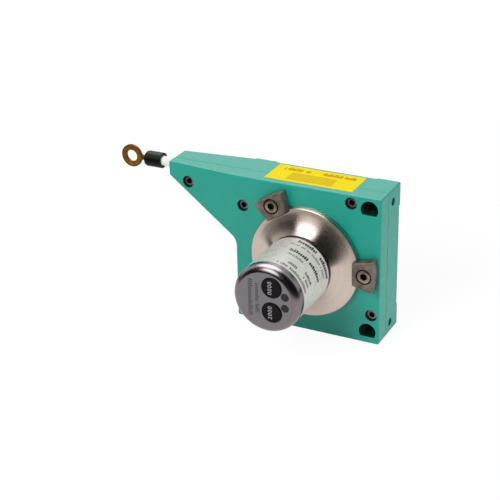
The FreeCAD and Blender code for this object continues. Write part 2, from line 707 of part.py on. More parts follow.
def drum():
    """The cable drum: a cup with two flanges, a web with round windows, and a hub."""
    hub_front_y = FRONT_BEARING_END + SLIP_GAP
    hub_rear_y = REAR_BEARING_Y - SLIP_GAP
    bore = DRUM_SHAFT_RADIUS + FIT_GAP
    profile = [
        (bore, hub_front_y),
        (DRUM_SHAFT_RADIUS + DRUM_HUB_FRONT_WALL, hub_front_y),
        (DRUM_SHAFT_RADIUS + DRUM_HUB_FRONT_WALL, WEB_FRONT_Y),
        (DRUM_INNER, WEB_FRONT_Y),
        (DRUM_INNER, DRUM_FRONT_Y),
        (DRUM_OUTER, DRUM_FRONT_Y),
        (DRUM_OUTER, WINDING_FRONT_Y),
        (BARREL_OUTER, WINDING_FRONT_Y),
        (BARREL_OUTER, WINDING_REAR_Y),
        (DRUM_OUTER, WINDING_REAR_Y),
        (DRUM_OUTER, DRUM_FLANGE_REAR_Y),
        (BARREL_OUTER, DRUM_FLANGE_REAR_Y),
        (BARREL_OUTER, DRUM_REAR_Y),
        (DRUM_INNER, DRUM_REAR_Y),
        (DRUM_INNER, WEB_REAR_Y),
        (DRUM_HUB_RADIUS, WEB_REAR_Y),
        (DRUM_HUB_RADIUS, hub_rear_y),
        (bore, hub_rear_y),
    ]
    solid = turned_about_y(profile)
    for turn in range(DRUM_HOLES):
        x, z = on_circle(DRUM_HOLE_CIRCLE, turn * 360 / DRUM_HOLES)
        window = rod(DRUM_HOLE_RADIUS, WEB_FRONT_Y - OVERCUT, WEB_REAR_Y + OVERCUT, x, z)
        solid = solid.cut(window)
    return solid


def shaft_section(clearance, start_y, end_y):
    """The encoder shaft's section with its flat; a clearance gives the bore for it."""
    radius = ENCODER_SHAFT_RADIUS + clearance
    solid = rod(radius, start_y, end_y)
    flat_z = ENCODER_SHAFT_RADIUS - SHAFT_FLAT + clearance
    return solid.cut(block((-radius, radius), (start_y, end_y), (flat_z, radius)))


def drum_shaft():
    """The hollow shaft of the drum, which takes the encoder's shaft."""
    solid = rod(DRUM_SHAFT_RADIUS, FRONT_BEARING_Y, REAR_BEARING_END)
    bore_end = PILOT_END_Y + SHAFT_ENTRY + END_GAP
    return solid.cut(shaft_section(FIT_GAP, FRONT_BEARING_Y - OVERCUT, bore_end))


def spring_arbor():
    """The sleeve on the boss that holds the spring's inner end in its slot."""
    sleeve = pipe(ARBOR_OUTER, ARBOR_INNER, SPRING_FRONT_Y, FLOOR_Y)
    slot = block(
        (-ARBOR_SLOT / 2, ARBOR_SLOT / 2),
        (SPRING_FRONT_Y - OVERCUT, REAR_BEARING_Y - END_GAP),
        (0, ARBOR_OUTER + OVERCUT),
    )
    return sleeve.cut(slot)


def mainspring():
    """The spiral spring, of half circles whose centres alternate."""
    first = ARBOR_OUTER + RUN_GAP + SPRING_THICKNESS / 2
    last = DRUM_INNER - RUN_GAP - SPRING_THICKNESS / 2
    step = (last - first) / (2 * SPRING_TURNS)
    edges = {1: [], -1: []}
    ends = {}
    for side in (1, -1):
        offset = side * SPRING_THICKNESS / 2
        for half in range(2 * SPRING_TURNS):
            way = 1 if half % 2 == 0 else -1
            radius = first + step * half + offset
            centre = step if half % 2 else 0.0
            start = Vector(centre + way * radius, SPRING_FRONT_Y, 0)
            middle = Vector(centre, SPRING_FRONT_Y, way * radius)
            end = Vector(centre - way * radius, SPRING_FRONT_Y, 0)
            edges[side].append(Part.Arc(start, middle, end).toShape())
            ends.setdefault(side, [start])
            if half == 2 * SPRING_TURNS - 1:
                ends[side].append(end)
    caps = [
        Part.LineSegment(ends[1][0], ends[-1][0]).toShape(),
        Part.LineSegment(ends[1][1], ends[-1][1]).toShape(),
    ]
    wire = Part.Wire(Part.__sortEdges__(edges[1] + edges[-1] + caps))
    return Part.Face(wire).extrude(Vector(0, SPRING_REAR_Y - SPRING_FRONT_Y, 0))


def spring_cover():
    """The plate that closes the drum's spring chamber at the rear."""
    inner = ARBOR_OUTER + 2 * RUN_GAP
    return pipe(BARREL_OUTER - END_GAP, inner, DRUM_REAR_Y, DRUM_REAR_Y + SPRING_COVER_THICKNESS)


def wire_winding():
    """The wound wire, as the closed ring of its turns."""
    return pipe(
        WIRE_PATH_RADIUS + WIRE_RADIUS,
        BARREL_OUTER + FIT_GAP,
        WINDING_FRONT_Y + FIT_GAP,
        WINDING_REAR_Y - FIT_GAP,
    )


def wire_nozzle():
    """The nozzle in the nose, with a collar that the housing halves hold."""
    right_x = TIP_X + NOZZLE_INSIDE
    collar_x = TIP_X + NOZZLE_COLLAR_DEPTH
    profile = [
        (right_x, NOZZLE_BORE),
        (right_x, NOZZLE_RADIUS),
        (collar_x + NOZZLE_COLLAR_LENGTH, NOZZLE_RADIUS),
        (collar_x + NOZZLE_COLLAR_LENGTH, NOZZLE_COLLAR_RADIUS),
        (collar_x, NOZZLE_COLLAR_RADIUS),
        (collar_x, NOZZLE_RADIUS),
        (NOZZLE_END_X + NOZZLE_TIP, NOZZLE_RADIUS),
        (NOZZLE_END_X + NOZZLE_TIP_RUN, NOZZLE_RADIUS - NOZZLE_TIP_DROP),
        (NOZZLE_END_X, NOZZLE_RADIUS - NOZZLE_TIP),
        (NOZZLE_END_X, NOZZLE_BORE),
    ]
    return turned_about_wire(profile)


def wire_wiper():
    """The felt ring behind the nozzle."""
    left_x = TIP_X + NOZZLE_INSIDE
    return turned_about_wire(
        [
            (left_x, WIPER_BORE),
            (left_x, NOZZLE_RADIUS),
            (left_x + WIPER_LENGTH, NOZZLE_RADIUS),
            (left_x + WIPER_LENGTH, WIPER_BORE),
        ]
    )


def draw_wire():
    """The straight wire from beside the winding to its end in the ferrule."""
    winding = WIRE_PATH_RADIUS + WIRE_RADIUS
    touch = math.sqrt(winding**2 - (WIRE_Z - WIRE_RADIUS) ** 2)
    start_x = -(touch + 2 * END_GAP)
    end_x = BARREL_LEFT_X + NECK_LENGTH
    return turned_about_wire(
        [(start_x, 0), (start_x, WIRE_RADIUS), (end_x, WIRE_RADIUS), (end_x, 0)]
    )


def wire_ferrule():
    """The crimped ferrule on the wire, inside the terminal's barrel."""
    left_x = BARREL_LEFT_X + NECK_LENGTH
    right_x = left_x + FERRULE_LENGTH
    outer = BARREL_BORE - FIT_GAP
    inner = WIRE_RADIUS + FIT_GAP
    return turned_about_wire([(left_x, inner), (left_x, outer), (right_x, outer), (right_x, inner)])


def end_sleeve():
    """The black sleeve over the crimp; its socket goes over the nozzle's tip at rest."""
    bore = BARREL_RADIUS + FIT_GAP
    socket = SLEEVE_RADIUS - SLEEVE_SOCKET_WALL
    shoulder = SLEEVE_ROUND * (1 - math.sqrt(0.5))
    profile = [
        (SLEEVE_LEFT_X, bore),
        (SLEEVE_LEFT_X, SLEEVE_RADIUS - SLEEVE_ROUND),
        (SLEEVE_LEFT_X + shoulder, SLEEVE_RADIUS - shoulder),
        (SLEEVE_LEFT_X + SLEEVE_ROUND, SLEEVE_RADIUS),
        (SLEEVE_RIGHT_X, SLEEVE_RADIUS),
        (SLEEVE_RIGHT_X, socket),
        (SOCKET_END_X, socket),
        (SOCKET_END_X, bore),
    ]
    return turned_about_wire(profile)


def ring_terminal():
    """The crimped terminal: a flat ring, a neck and a barrel."""
    front_y = WIRE_Y - RING_THICKNESS / 2
    rear_y = WIRE_Y + RING_THICKNESS / 2
    ring = rod(RING_RADIUS, front_y, rear_y, RING_X, WIRE_Z)
    neck = block(
        (RING_X + RING_EYE_RADIUS, BARREL_LEFT_X + NECK_LENGTH),
        (front_y, rear_y),
        (WIRE_Z - NECK_WIDTH / 2, WIRE_Z + NECK_WIDTH / 2),
    )
    barrel = turned_about_wire(
        [
            (BARREL_LEFT_X, 0),
            (BARREL_LEFT_X, BARREL_RADIUS),
            (BARREL_RIGHT_X, BARREL_RADIUS),
            (BARREL_RIGHT_X, BARREL_BORE),
            (BARREL_LEFT_X + NECK_LENGTH, BARREL_BORE),
            (BARREL_LEFT_X + NECK_LENGTH, 0),
        ]
    )
    eye = rod(RING_EYE_RADIUS, front_y - OVERCUT, rear_y + OVERCUT, RING_X, WIRE_Z)
    return ring.fuse(neck).fuse(barrel).cut(eye).removeSplitter()


def encoder_flange():
    """The turned flange: pilot, rim, tube spigot and bearing hub in one piece."""
    bore = ENCODER_BEARING_RADIUS + FIT_GAP
    profile = [
        (bore, PILOT_END_Y),
        (PILOT_RADIUS - FLANGE_BEVEL, PILOT_END_Y),
        (PILOT_RADIUS, PILOT_END_Y - FLANGE_BEVEL),
        (PILOT_RADIUS, FRONT_Y),
        (FLANGE_RADIUS, FRONT_Y),
        (FLANGE_RADIUS, FLANGE_FRONT_Y + FLANGE_BEVEL),
        (FLANGE_RADIUS - FLANGE_BEVEL, FLANGE_FRONT_Y),
        (FLANGE_RADIUS - FLANGE_RIM, FLANGE_FRONT_Y),
        (TUBE_RADIUS, CONE_TOP_Y),
        (SPIGOT_RADIUS, CONE_TOP_Y),
        (SPIGOT_RADIUS, CONE_TOP_Y - SPIGOT_LENGTH),
        (HUB_RADIUS, CONE_TOP_Y - SPIGOT_LENGTH),
        (HUB_RADIUS, HUB_END_Y),
        (bore, HUB_END_Y),
    ]
    solid = turned_about_y(profile)
    groove = ENCODER_BEARING_RADIUS + RETAINING_RING_GROOVE + FIT_GAP
    return solid.cut(rod(groove, RING_END_Y - FIT_GAP, RING_Y + FIT_GAP))


def flange_clamps():
    """Three sector-shaped clamps that hold the flange's rim down on the cover."""
    half = math.radians(CLAMP_HALF_ANGLE)
    inner_z = CLAMP_INNER * math.tan(half)
    outer_x = CLAMP_OUTER * math.cos(half)
    outer_z = CLAMP_OUTER * math.sin(half)
    corners = [
        Vector(CLAMP_INNER, CLAMP_FRONT_Y, -inner_z),
        Vector(outer_x, CLAMP_FRONT_Y, -outer_z),
        Vector(CLAMP_OUTER, CLAMP_FRONT_Y, 0),
        Vector(outer_x, CLAMP_FRONT_Y, outer_z),
        Vector(CLAMP_INNER, CLAMP_FRONT_Y, inner_z),
    ]
    edges = [
        Part.LineSegment(corners[0], corners[1]).toShape(),
        Part.Arc(corners[1], corners[2], corners[3]).toShape(),
        Part.LineSegment(corners[3], corners[4]).toShape(),
        Part.LineSegment(corners[4], corners[0]).toShape(),
    ]
    plate = Part.Face(Part.Wire(edges)).extrude(Vector(0, FRONT_Y - CLAMP_FRONT_Y, 0))
    plate = plate.makeChamfer(CLAMP_BEVEL, edges_within(plate, CLAMP_FRONT_Y, CLAMP_FRONT_Y))
    end_y = FRONT_Y + OVERCUT
    sink = CLAMP_SCREW_HEAD_RADIUS + CLAMP_SCREW_CLEARANCE
    seat_y = CLAMP_FRONT_Y + CLAMP_SINK
    plate = plate.cut(rod(FLANGE_RADIUS + SLIP_GAP, FLANGE_FRONT_Y, end_y))
    plate = plate.cut(rod(sink, CLAMP_FRONT_Y - OVERCUT, seat_y, CLAMP_CIRCLE))
    plate = plate.cut(rod(CLAMP_SCREW_RADIUS + SLIP_GAP, CLAMP_FRONT_Y, end_y, CLAMP_CIRCLE))
    return [turned_to(plate, turn * 360 / CLAMPS) for turn in range(CLAMPS)]


def clamp_screws():
    """The socket-head screws of the clamps."""
    seat_y = CLAMP_FRONT_Y + CLAMP_SINK
    head = (CLAMP_SCREW_HEAD_RADIUS, CLAMP_SCREW_HEAD_HEIGHT)
    shank = (CLAMP_SCREW_RADIUS, FRONT_Y - seat_y + CLAMP_SCREW_GRIP)
    screw = socket_screw((CLAMP_CIRCLE, 0), seat_y, head, shank, CLAMP_SCREW_KEY)
    return [turned_to(screw, turn * 360 / CLAMPS) for turn in range(CLAMPS)]


def flange_o_ring():
    """The O-ring in the gap between the flange and the tube."""
    outer = TUBE_RADIUS - END_GAP
    inner = SPIGOT_RADIUS + FIT_GAP
    bevel = (outer - inner) * O_RING_BEVEL_SHARE
    front_y = TUBE_FRONT_Y + FIT_GAP
    rear_y = CONE_TOP_Y - FIT_GAP
    return turned_about_y(
        [
            (inner, front_y),
            (outer - bevel, front_y),
            (outer, front_y + bevel),
            (outer, rear_y - bevel),
            (outer - bevel, rear_y),
            (inner, rear_y),
        ]
    )


def encoder_tube():
    """The round shell of the encoder, with a hole for the gland's neck."""
    tube = pipe(TUBE_RADIUS, TUBE_INNER, CAP_SEAT_Y, TUBE_FRONT_Y)
    start = Vector(TUBE_INNER - OVERCUT, GLAND_Y, 0)
    length = TUBE_WALL + 2 * OVERCUT
    hole = Part.makeCylinder(GLAND_NECK_RADIUS + FIT_GAP, length, start, Vector(1, 0, 0))
    return tube.cut(turned_to(hole, GLAND_ANGLE))


def tube_label():
    """The label that wraps most of the tube."""
    start_y = CAP_SEAT_Y + LABEL_MARGIN
    end_y = TUBE_FRONT_Y - LABEL_MARGIN
    inner = TUBE_RADIUS + LABEL_GAP
    face = closed_face(
        [
            Vector(inner, start_y, 0),
            Vector(TUBE_RADIUS + LABEL_THICKNESS, start_y, 0),
            Vector(TUBE_RADIUS + LABEL_THICKNESS, end_y, 0),
            Vector(inner, end_y, 0),
        ]
    )
    label = face.revolve(Vector(0, 0, 0), Vector(0, -1, 0), LABEL_SPAN)
    return turned_to(label, LABEL_START_ANGLE)


def end_cap():
    """The cap: rounded rim, recess for the face plate, holes, and a spigot into the tube."""
    inner = CAP_SPIGOT_INNER
    profile = [
        (0, CAP_FACE_Y),
        (CAP_RADIUS, CAP_FACE_Y),
        (CAP_RADIUS, CAP_SEAT_Y),
        (SPIGOT_RADIUS, CAP_SEAT_Y),
        (SPIGOT_RADIUS, CAP_SEAT_Y + CAP_SPIGOT_LENGTH),
        (inner, CAP_SEAT_Y + CAP_SPIGOT_LENGTH),
        (inner, CAP_INNER_Y),
        (0, CAP_INNER_Y),
    ]
    cap = turned_about_y(profile)
    rim = [
        edge
        for edge in edges_within(cap, CAP_FACE_Y, CAP_FACE_Y)
        if abs(edge.Vertexes[0].X - CAP_RADIUS) < 0.001
    ]
    cap = cap.makeFillet(CAP_ROUND, rim)
    recess = CAP_FACE_Y + PLATE_THICKNESS - PLATE_PROUD
    cap = cap.cut(rod(PLATE_RADIUS + FIT_GAP, CAP_FACE_Y - OVERCUT, recess))
    groove_y = CAP_SEAT_Y + O_RING_WIDTH
    groove = pipe(
        SPIGOT_RADIUS + OVERCUT,
        SPIGOT_RADIUS - O_RING_WIDTH / 2,
        groove_y - FIT_GAP,
        groove_y + O_RING_WIDTH + FIT_GAP,
    )
    return cut_face_holes(cap.cut(groove))


def cut_face_holes(solid):
    """Cuts the holes of both buttons and both LED windows."""
    start_y = CAP_FACE_Y - OVERCUT
    end_y = CAP_INNER_Y + OVERCUT
    for x, z in BUTTON_SPOTS:
        solid = solid.cut(rod(BUTTON_RADIUS + RUN_GAP, start_y, end_y, x, z))
    for x, z in WINDOW_SPOTS:
        solid = solid.cut(rod(WINDOW_RADIUS + FIT_GAP, start_y, end_y, x, z))
    return solid


def cap_o_ring():
    """The O-ring between the cap's spigot and the tube."""
    start_y = CAP_SEAT_Y + O_RING_WIDTH
    inner = SPIGOT_RADIUS - O_RING_WIDTH / 2 + FIT_GAP
    return pipe(TUBE_INNER - FIT_GAP, inner, start_y, start_y + O_RING_WIDTH)


def face_plate():
    """The thin plate in the cap's recess."""
    start_y = CAP_FACE_Y - PLATE_PROUD
    return cut_face_holes(rod(PLATE_RADIUS, start_y, start_y + PLATE_THICKNESS))


def set_button(x, z):
    """A button with a rounded head and a flange behind the cap's wall."""
    top_y = CAP_FACE_Y - BUTTON_PROUD
    profile = [
        (0, top_y),
        (BUTTON_RADIUS - BUTTON_BEVEL, top_y),
        (BUTTON_RADIUS, top_y + BUTTON_BEVEL),
        (BUTTON_RADIUS, BUTTON_FLANGE_Y),
        (BUTTON_RADIUS + BUTTON_FLANGE, BUTTON_FLANGE_Y),
        (BUTTON_RADIUS + BUTTON_FLANGE, BUTTON_INNER_Y),
        (0, BUTTON_INNER_Y),
    ]
    return turned_about_y(profile, x, z)


def led_windows():
    """Two clear windows, flush with the face plate."""
    windows = []
    for x, z in WINDOW_SPOTS:
        windows.append(rod(WINDOW_RADIUS, CAP_FACE_Y - PLATE_PROUD, CAP_INNER_Y + SLIP_GAP, x, z))
    return windows


def status_leds():
    """Two LEDs on the key board under the windows."""
    leds = []
    for x, z in WINDOW_SPOTS:
        leds.append(rod(LED_RADIUS, CAP_INNER_Y + RUN_GAP, KEY_BOARD_FACE_Y, x, z))
    return leds


def key_switches():
    """Two key switches on the key board under the buttons."""
    half = KEY_SWITCH_SIZE / 2
    switches = []
    for x, z in BUTTON_SPOTS:
        middle_y = (KEY_SWITCH_Y + KEY_BOARD_FACE_Y) / 2
        base = block((x - half, x + half), (middle_y, KEY_BOARD_FACE_Y), (z - half, z + half))
        plunger = rod(half / 2, KEY_SWITCH_Y, middle_y + SLIP_GAP, x, z)
        switches.append(base.fuse(plunger))
    return switches


def key_board_posts():
    """Posts between the cap's wall and the key board, clear of buttons and windows."""
    posts = []
    for degrees in KEY_POST_ANGLES:
        x, z = on_circle(STANDOFF_CIRCLE, degrees)
        posts.append(rod(STANDOFF_RADIUS, CAP_INNER_Y, KEY_BOARD_FACE_Y, x, z))
    return posts


def board_standoffs():
    """Two levels of standoffs: hub to sensor board, and sensor board to main board."""
    posts = []
    for turn in range(STANDOFFS):
        x, z = on_circle(STANDOFF_CIRCLE, STANDOFF_FIRST_ANGLE + turn * 360 / STANDOFFS)
        posts.append(rod(STANDOFF_RADIUS, SENSOR_BOARD_Y, HUB_END_Y, x, z))
        posts.append(rod(STANDOFF_RADIUS, MAIN_BOARD_Y, SENSOR_BOARD_END, x, z))
    return posts


def encoder_shaft():
    """The encoder's shaft, with a flat at the drum's end and a collar between its bearings."""
    entry_y = PILOT_END_Y + SHAFT_ENTRY
    end_y = MAGNET_HOLDER_Y - MAGNET_HOLDER_LENGTH + MAGNET_LENGTH + SLIP_GAP
    plain = rod(ENCODER_SHAFT_RADIUS, end_y, PILOT_END_Y)
    entry = shaft_section(0, PILOT_END_Y, entry_y)
    collar = rod(
        ENCODER_SHAFT_RADIUS + SPACER_WALL,
        BEARING_2_Y + SLIP_GAP,
        BEARING_1_END - SLIP_GAP,
    )
    return plain.fuse(entry).fuse(collar).removeSplitter()


def encoder_bearings():
    """Both encoder bearings, as outer parts and inner rings."""
    pairs = []
    for start_y in (BEARING_1_END, BEARING_2_END):
        pairs.append(
            ball_bearing(
                ENCODER_SHAFT_RADIUS, ENCODER_BEARING_RADIUS, start_y, ENCODER_BEARING_WIDTH
            )
        )
    return pairs


def drum_bearings():
    """Both drum bearings, as outer parts and inner rings."""
    pairs = []
    for start_y in (FRONT_BEARING_Y, REAR_BEARING_Y):
        pairs.append(
            ball_bearing(DRUM_SHAFT_RADIUS, DRUM_BEARING_RADIUS, start_y, DRUM_BEARING_WIDTH)
        )
    return pairs


def bearing_spacer():
    """The tube between the encoder bearings' outer rings."""
    outer = ENCODER_BEARING_RADIUS
    return pipe(outer, outer - SPACER_WALL, BEARING_2_Y, BEARING_1_END)


def retaining_ring():
    """The open ring that holds the bearing stack in the hub."""
    outer = ENCODER_BEARING_RADIUS + RETAINING_RING_GROOVE
    ring = pipe(outer, ENCODER_BEARING_RADIUS - SPACER_WALL, RING_END_Y, RING_Y)
    gap = block(
        (0, outer + OVERCUT),
        (RING_END_Y - OVERCUT, RING_Y + OVERCUT),
        (-SPACER_WALL, SPACER_WALL),
    )
    return ring.cut(gap)


def shaft_seal():
    """The lip seal in the pilot's bore."""
    inner = ENCODER_SHAFT_RADIUS + SLIP_GAP
    return pipe(ENCODER_BEARING_RADIUS, inner, SEAL_END_Y, PILOT_END_Y)


def magnet_holder():
    """The cup on the shaft's end that holds the magnet."""
    outer = MAGNET_RADIUS + MAGNET_HOLDER_WALL
    cup = rod(outer, MAGNET_HOLDER_END, MAGNET_HOLDER_Y)
    start_y = MAGNET_HOLDER_END - OVERCUT
    return cup.cut(rod(MAGNET_RADIUS + FIT_GAP, start_y, MAGNET_HOLDER_Y + OVERCUT))


def sensor_magnet():
    """The round magnet at the shaft's end."""
    return rod(MAGNET_RADIUS, MAGNET_HOLDER_END, MAGNET_HOLDER_END + MAGNET_LENGTH)


def gland_part(solid):
    """A gland piece made along +X, in its place on the tube."""
    solid = turned_to(solid, GLAND_ANGLE)
    solid.translate(Vector(0, GLAND_Y, 0))
    return solid


def hexagon_along_x(width, start_x, end_x):
    """A hexagonal prism along X, measured across its flats."""
    prism = hexagon(width, start_x, end_x)
    prism.rotate(Vector(0, 0, 0), Vector(0, 0, 1), -90)
    return prism


def turned_about_x(profile):
    """A turned solid about X, from (x, radius) corners."""
    face = closed_face([Vector(x, 0, radius) for x, radius in profile])
    return face.revolve(Vector(0, 0, 0), Vector(1, 0, 0), 360)


def bore_along_x(radius, start_x, end_x):
    """A cylinder along X."""
    return Part.makeCylinder(radius, end_x - start_x, Vector(start_x, 0, 0), Vector(1, 0, 0))


def gland_body():
    """The gland's body: neck through the tube's wall, hexagon base and thread."""
    middle_x = GLAND_BASE_X + GLAND_BASE_LENGTH / 2
    inner_x = TUBE_INNER - TUBE_WALL
    core = turned_about_x(
        [
            (inner_x, 0),
            (inner_x, GLAND_NECK_RADIUS),
            (middle_x, GLAND_NECK_RADIUS),
            (middle_x, GLAND_THREAD_RADIUS),
            (GLAND_END_X, GLAND_THREAD_RADIUS),
            (GLAND_END_X, 0),
        ]
    )
    base = hexagon_along_x(GLAND_HEX, GLAND_BASE_X - GLAND_BASE_LENGTH / 2, GLAND_THREAD_X)
    base = base.cut(rod(GLAND_BASE_X, -GLAND_HEX, GLAND_HEX))
    through = bore_along_x(GLAND_CABLE_RADIUS, 0, GLAND_END_X)
    seat = bore_along_x(GLAND_SEAL_RADIUS + FIT_GAP, GLAND_THREAD_X, GLAND_END_X)
    return gland_part(base.fuse(core).cut(through).cut(seat).removeSplitter())


def gland_seal():
    """The rubber bush that grips the cable."""
    end_x = GLAND_END_X - SLIP_GAP
    profile = [
        (GLAND_THREAD_X, GLAND_CABLE_RADIUS),
        (GLAND_THREAD_X, GLAND_SEAL_RADIUS),
        (end_x, GLAND_SEAL_RADIUS),
        (end_x, GLAND_CABLE_RADIUS),
    ]
    return gland_part(turned_about_x(profile))


def gland_nut():
    """The domed nut of the gland."""
    start_x = GLAND_THREAD_X + RUN_GAP
    end_x = start_x + GLAND_NUT_LENGTH
    corner = GLAND_NUT_HEX / 2 / math.cos(math.radians(30))
    dome = turned_about_x(
        [
            (start_x, 0),
            (start_x, corner - RUN_GAP),
            (start_x + RUN_GAP, corner),
            (end_x - GLAND_NUT_DOME, corner),
            (end_x, GLAND_NUT_MOUTH_RADIUS),
            (end_x, 0),
        ]
    )
    nut = hexagon_along_x(GLAND_NUT_HEX, start_x, end_x).common(dome)
    nut = nut.cut(bore_along_x(GLAND_THREAD_RADIUS + FIT_GAP, start_x, GLAND_END_X + SLIP_GAP))
    nut = nut.cut(bore_along_x(GLAND_CABLE_RADIUS + RUN_GAP, start_x, end_x))
    return gland_part(nut.removeSplitter())


def main():
    """Builds every node."""
    os.makedirs("parts", exist_ok=True)
    body = housing_block()
    save("rear_housing", [rear_housing(body)])
    save("front_cover", [front_cover(body)])
    save("housing_seal", [seal_ring(0)])
    save("cover_screws", cover_screws())
    save("top_sticker", [top_sticker()])

    save("cable_drum", [drum()])
    save("drum_shaft", [drum_shaft()])
    bearings = drum_bearings()
    save("drum_bearings", [pair[0] for pair in bearings])
    save("drum_bearing_inner_rings", [pair[1] for pair in bearings])
    save("wire_winding", [wire_winding()])
    save("spring_arbor", [spring_arbor()])
    save("mainspring", [mainspring()])
    save("spring_cover", [spring_cover()])

    save("wire_nozzle", [wire_nozzle()])
    save("wire_wiper", [wire_wiper()])
    save("draw_wire", [draw_wire()])
    save("wire_ferrule", [wire_ferrule()])
    save("end_sleeve", [end_sleeve()])
    save("ring_terminal", [ring_terminal()])

    save("encoder_flange", [encoder_flange()])
    save("flange_clamps", flange_clamps())
    save("clamp_screws", clamp_screws())
    save("flange_o_ring", [flange_o_ring()])
    save("encoder_tube", [encoder_tube()])
    save("tube_label", [tube_label()])
    save("end_cap", [end_cap()])
    save("cap_o_ring", [cap_o_ring()])
    save("face_plate", [face_plate()])
    for number, (x, z) in enumerate(BUTTON_SPOTS, 1):
        save("set_button_%d" % number, [set_button(x, z)])
    save("led_windows", led_windows())
    save("status_leds", status_leds())
    save("key_switches", key_switches())
    save("key_board", [rod(KEY_BOARD_RADIUS, KEY_BOARD_FACE_Y, KEY_BOARD_REAR_Y)])
    save("key_board_posts", key_board_posts())

    save("encoder_shaft", [encoder_shaft()])
    bearings = encoder_bearings()
    save("encoder_bearings", [pair[0] for pair in bearings])
    save("encoder_bearing_inner_rings", [pair[1] for pair in bearings])
    save("bearing_spacer", [bearing_spacer()])
    save("retaining_ring", [retaining_ring()])
    save("shaft_seal", [shaft_seal()])
    save("magnet_holder", [magnet_holder()])
    save("sensor_magnet", [sensor_magnet()])
    save("sensor_board", [rod(BOARD_RADIUS, SENSOR_BOARD_END, SENSOR_BOARD_Y)])
    save("main_board", [rod(BOARD_RADIUS, MAIN_BOARD_END, MAIN_BOARD_Y)])
    save("board_standoffs", board_standoffs())
    save("gland_body", [gland_body()])
    save("gland_seal", [gland_seal()])
    save("gland_nut", [gland_nut()])


main()
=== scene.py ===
import json
import math

import bmesh
import bpy
from mathutils import Matrix, Vector


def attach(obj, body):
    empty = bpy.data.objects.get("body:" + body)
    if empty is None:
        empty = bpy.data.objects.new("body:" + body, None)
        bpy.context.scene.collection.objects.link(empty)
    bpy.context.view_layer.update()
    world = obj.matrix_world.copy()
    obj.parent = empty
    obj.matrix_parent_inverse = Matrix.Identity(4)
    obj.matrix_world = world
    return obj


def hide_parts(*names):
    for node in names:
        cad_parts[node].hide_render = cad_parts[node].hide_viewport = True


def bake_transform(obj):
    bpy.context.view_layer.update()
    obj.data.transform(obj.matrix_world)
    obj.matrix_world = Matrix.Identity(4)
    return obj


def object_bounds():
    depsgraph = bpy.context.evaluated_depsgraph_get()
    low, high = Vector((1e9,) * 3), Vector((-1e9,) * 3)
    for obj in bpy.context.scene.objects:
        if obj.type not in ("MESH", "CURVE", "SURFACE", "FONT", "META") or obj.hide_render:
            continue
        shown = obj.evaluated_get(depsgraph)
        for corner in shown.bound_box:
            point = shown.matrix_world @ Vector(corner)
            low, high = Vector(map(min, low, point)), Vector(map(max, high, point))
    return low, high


# Draw wire encoder, in metres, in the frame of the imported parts.
# The drum axis is Y, the encoder stands out towards -Y, the wire leaves towards -X, Z is up.

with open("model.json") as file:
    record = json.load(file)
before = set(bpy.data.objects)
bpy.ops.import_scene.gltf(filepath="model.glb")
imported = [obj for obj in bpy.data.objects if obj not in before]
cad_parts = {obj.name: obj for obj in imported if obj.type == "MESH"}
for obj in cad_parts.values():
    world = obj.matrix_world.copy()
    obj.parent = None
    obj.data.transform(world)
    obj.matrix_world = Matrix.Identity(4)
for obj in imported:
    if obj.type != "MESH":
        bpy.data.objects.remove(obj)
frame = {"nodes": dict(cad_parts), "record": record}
NODES = frame["nodes"]
CAD_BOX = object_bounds()
MM = 0.001
MICRON = 0.000001

# ---------------------------------------------------------------- node helpers

# Noise seldom leaves these limits, so they are carried over to the two ends of a look.
SOFT_NOISE = (0.3, 0.7)
FINE_NOISE = (0.25, 0.75)

# Blocks in place of print: the share of empty cells and of low blocks, where a block starts and
# ends in its cell, how soft its sides are there, and how soft the ends of a row are.
EMPTY_CELLS = 0.1
LOW_BLOCKS = 0.55
BLOCK_SPAN = (0.1, 0.88)
BLOCK_SOFT = 0.04
ROW_SOFT = 0.05 * MM


class Graph:
    """A node tree, with short calls for the nodes that finishes and studio share."""

    def __init__(self, node_tree):
        self.nodes = node_tree.nodes
        self.links = node_tree.links

    def add(self, kind, inputs=None, **settings):
        """A new node, with inputs by name or number set or linked."""
        made = self.nodes.new(kind)
        for key, value in settings.items():
            setattr(made, key, value)
        for key, value in (inputs or {}).items():
            self.put(made.inputs[key], value)
        return made

    def put(self, socket, value):
        if isinstance(value, bpy.types.NodeSocket):
            self.links.new(value, socket)
        else:
            socket.default_value = value

    def math(self, operation, first, second=0.0, third=None):
        inputs = {0: first, 1: second}
        if third is not None:
            inputs[2] = third
        return self.add("ShaderNodeMath", inputs, operation=operation).outputs[0]

    def spread(self, value, low, high, new_low, new_high):
        """Carries one range of values over to another, and stops at its ends."""
        inputs = {
            "Value": value, "From Min": low, "From Max": high,
            "To Min": new_low, "To Max": new_high,
        }
        return self.add("ShaderNodeMapRange", inputs).outputs["Result"]

    def smooth(self, value, low, high):
        """0 below low, 1 above high, smooth between."""
        inputs = {"Value": value, "From Min": low, "From Max": high}
        made = self.add("ShaderNodeMapRange", inputs, interpolation_type="SMOOTHSTEP")
        return made.outputs["Result"]


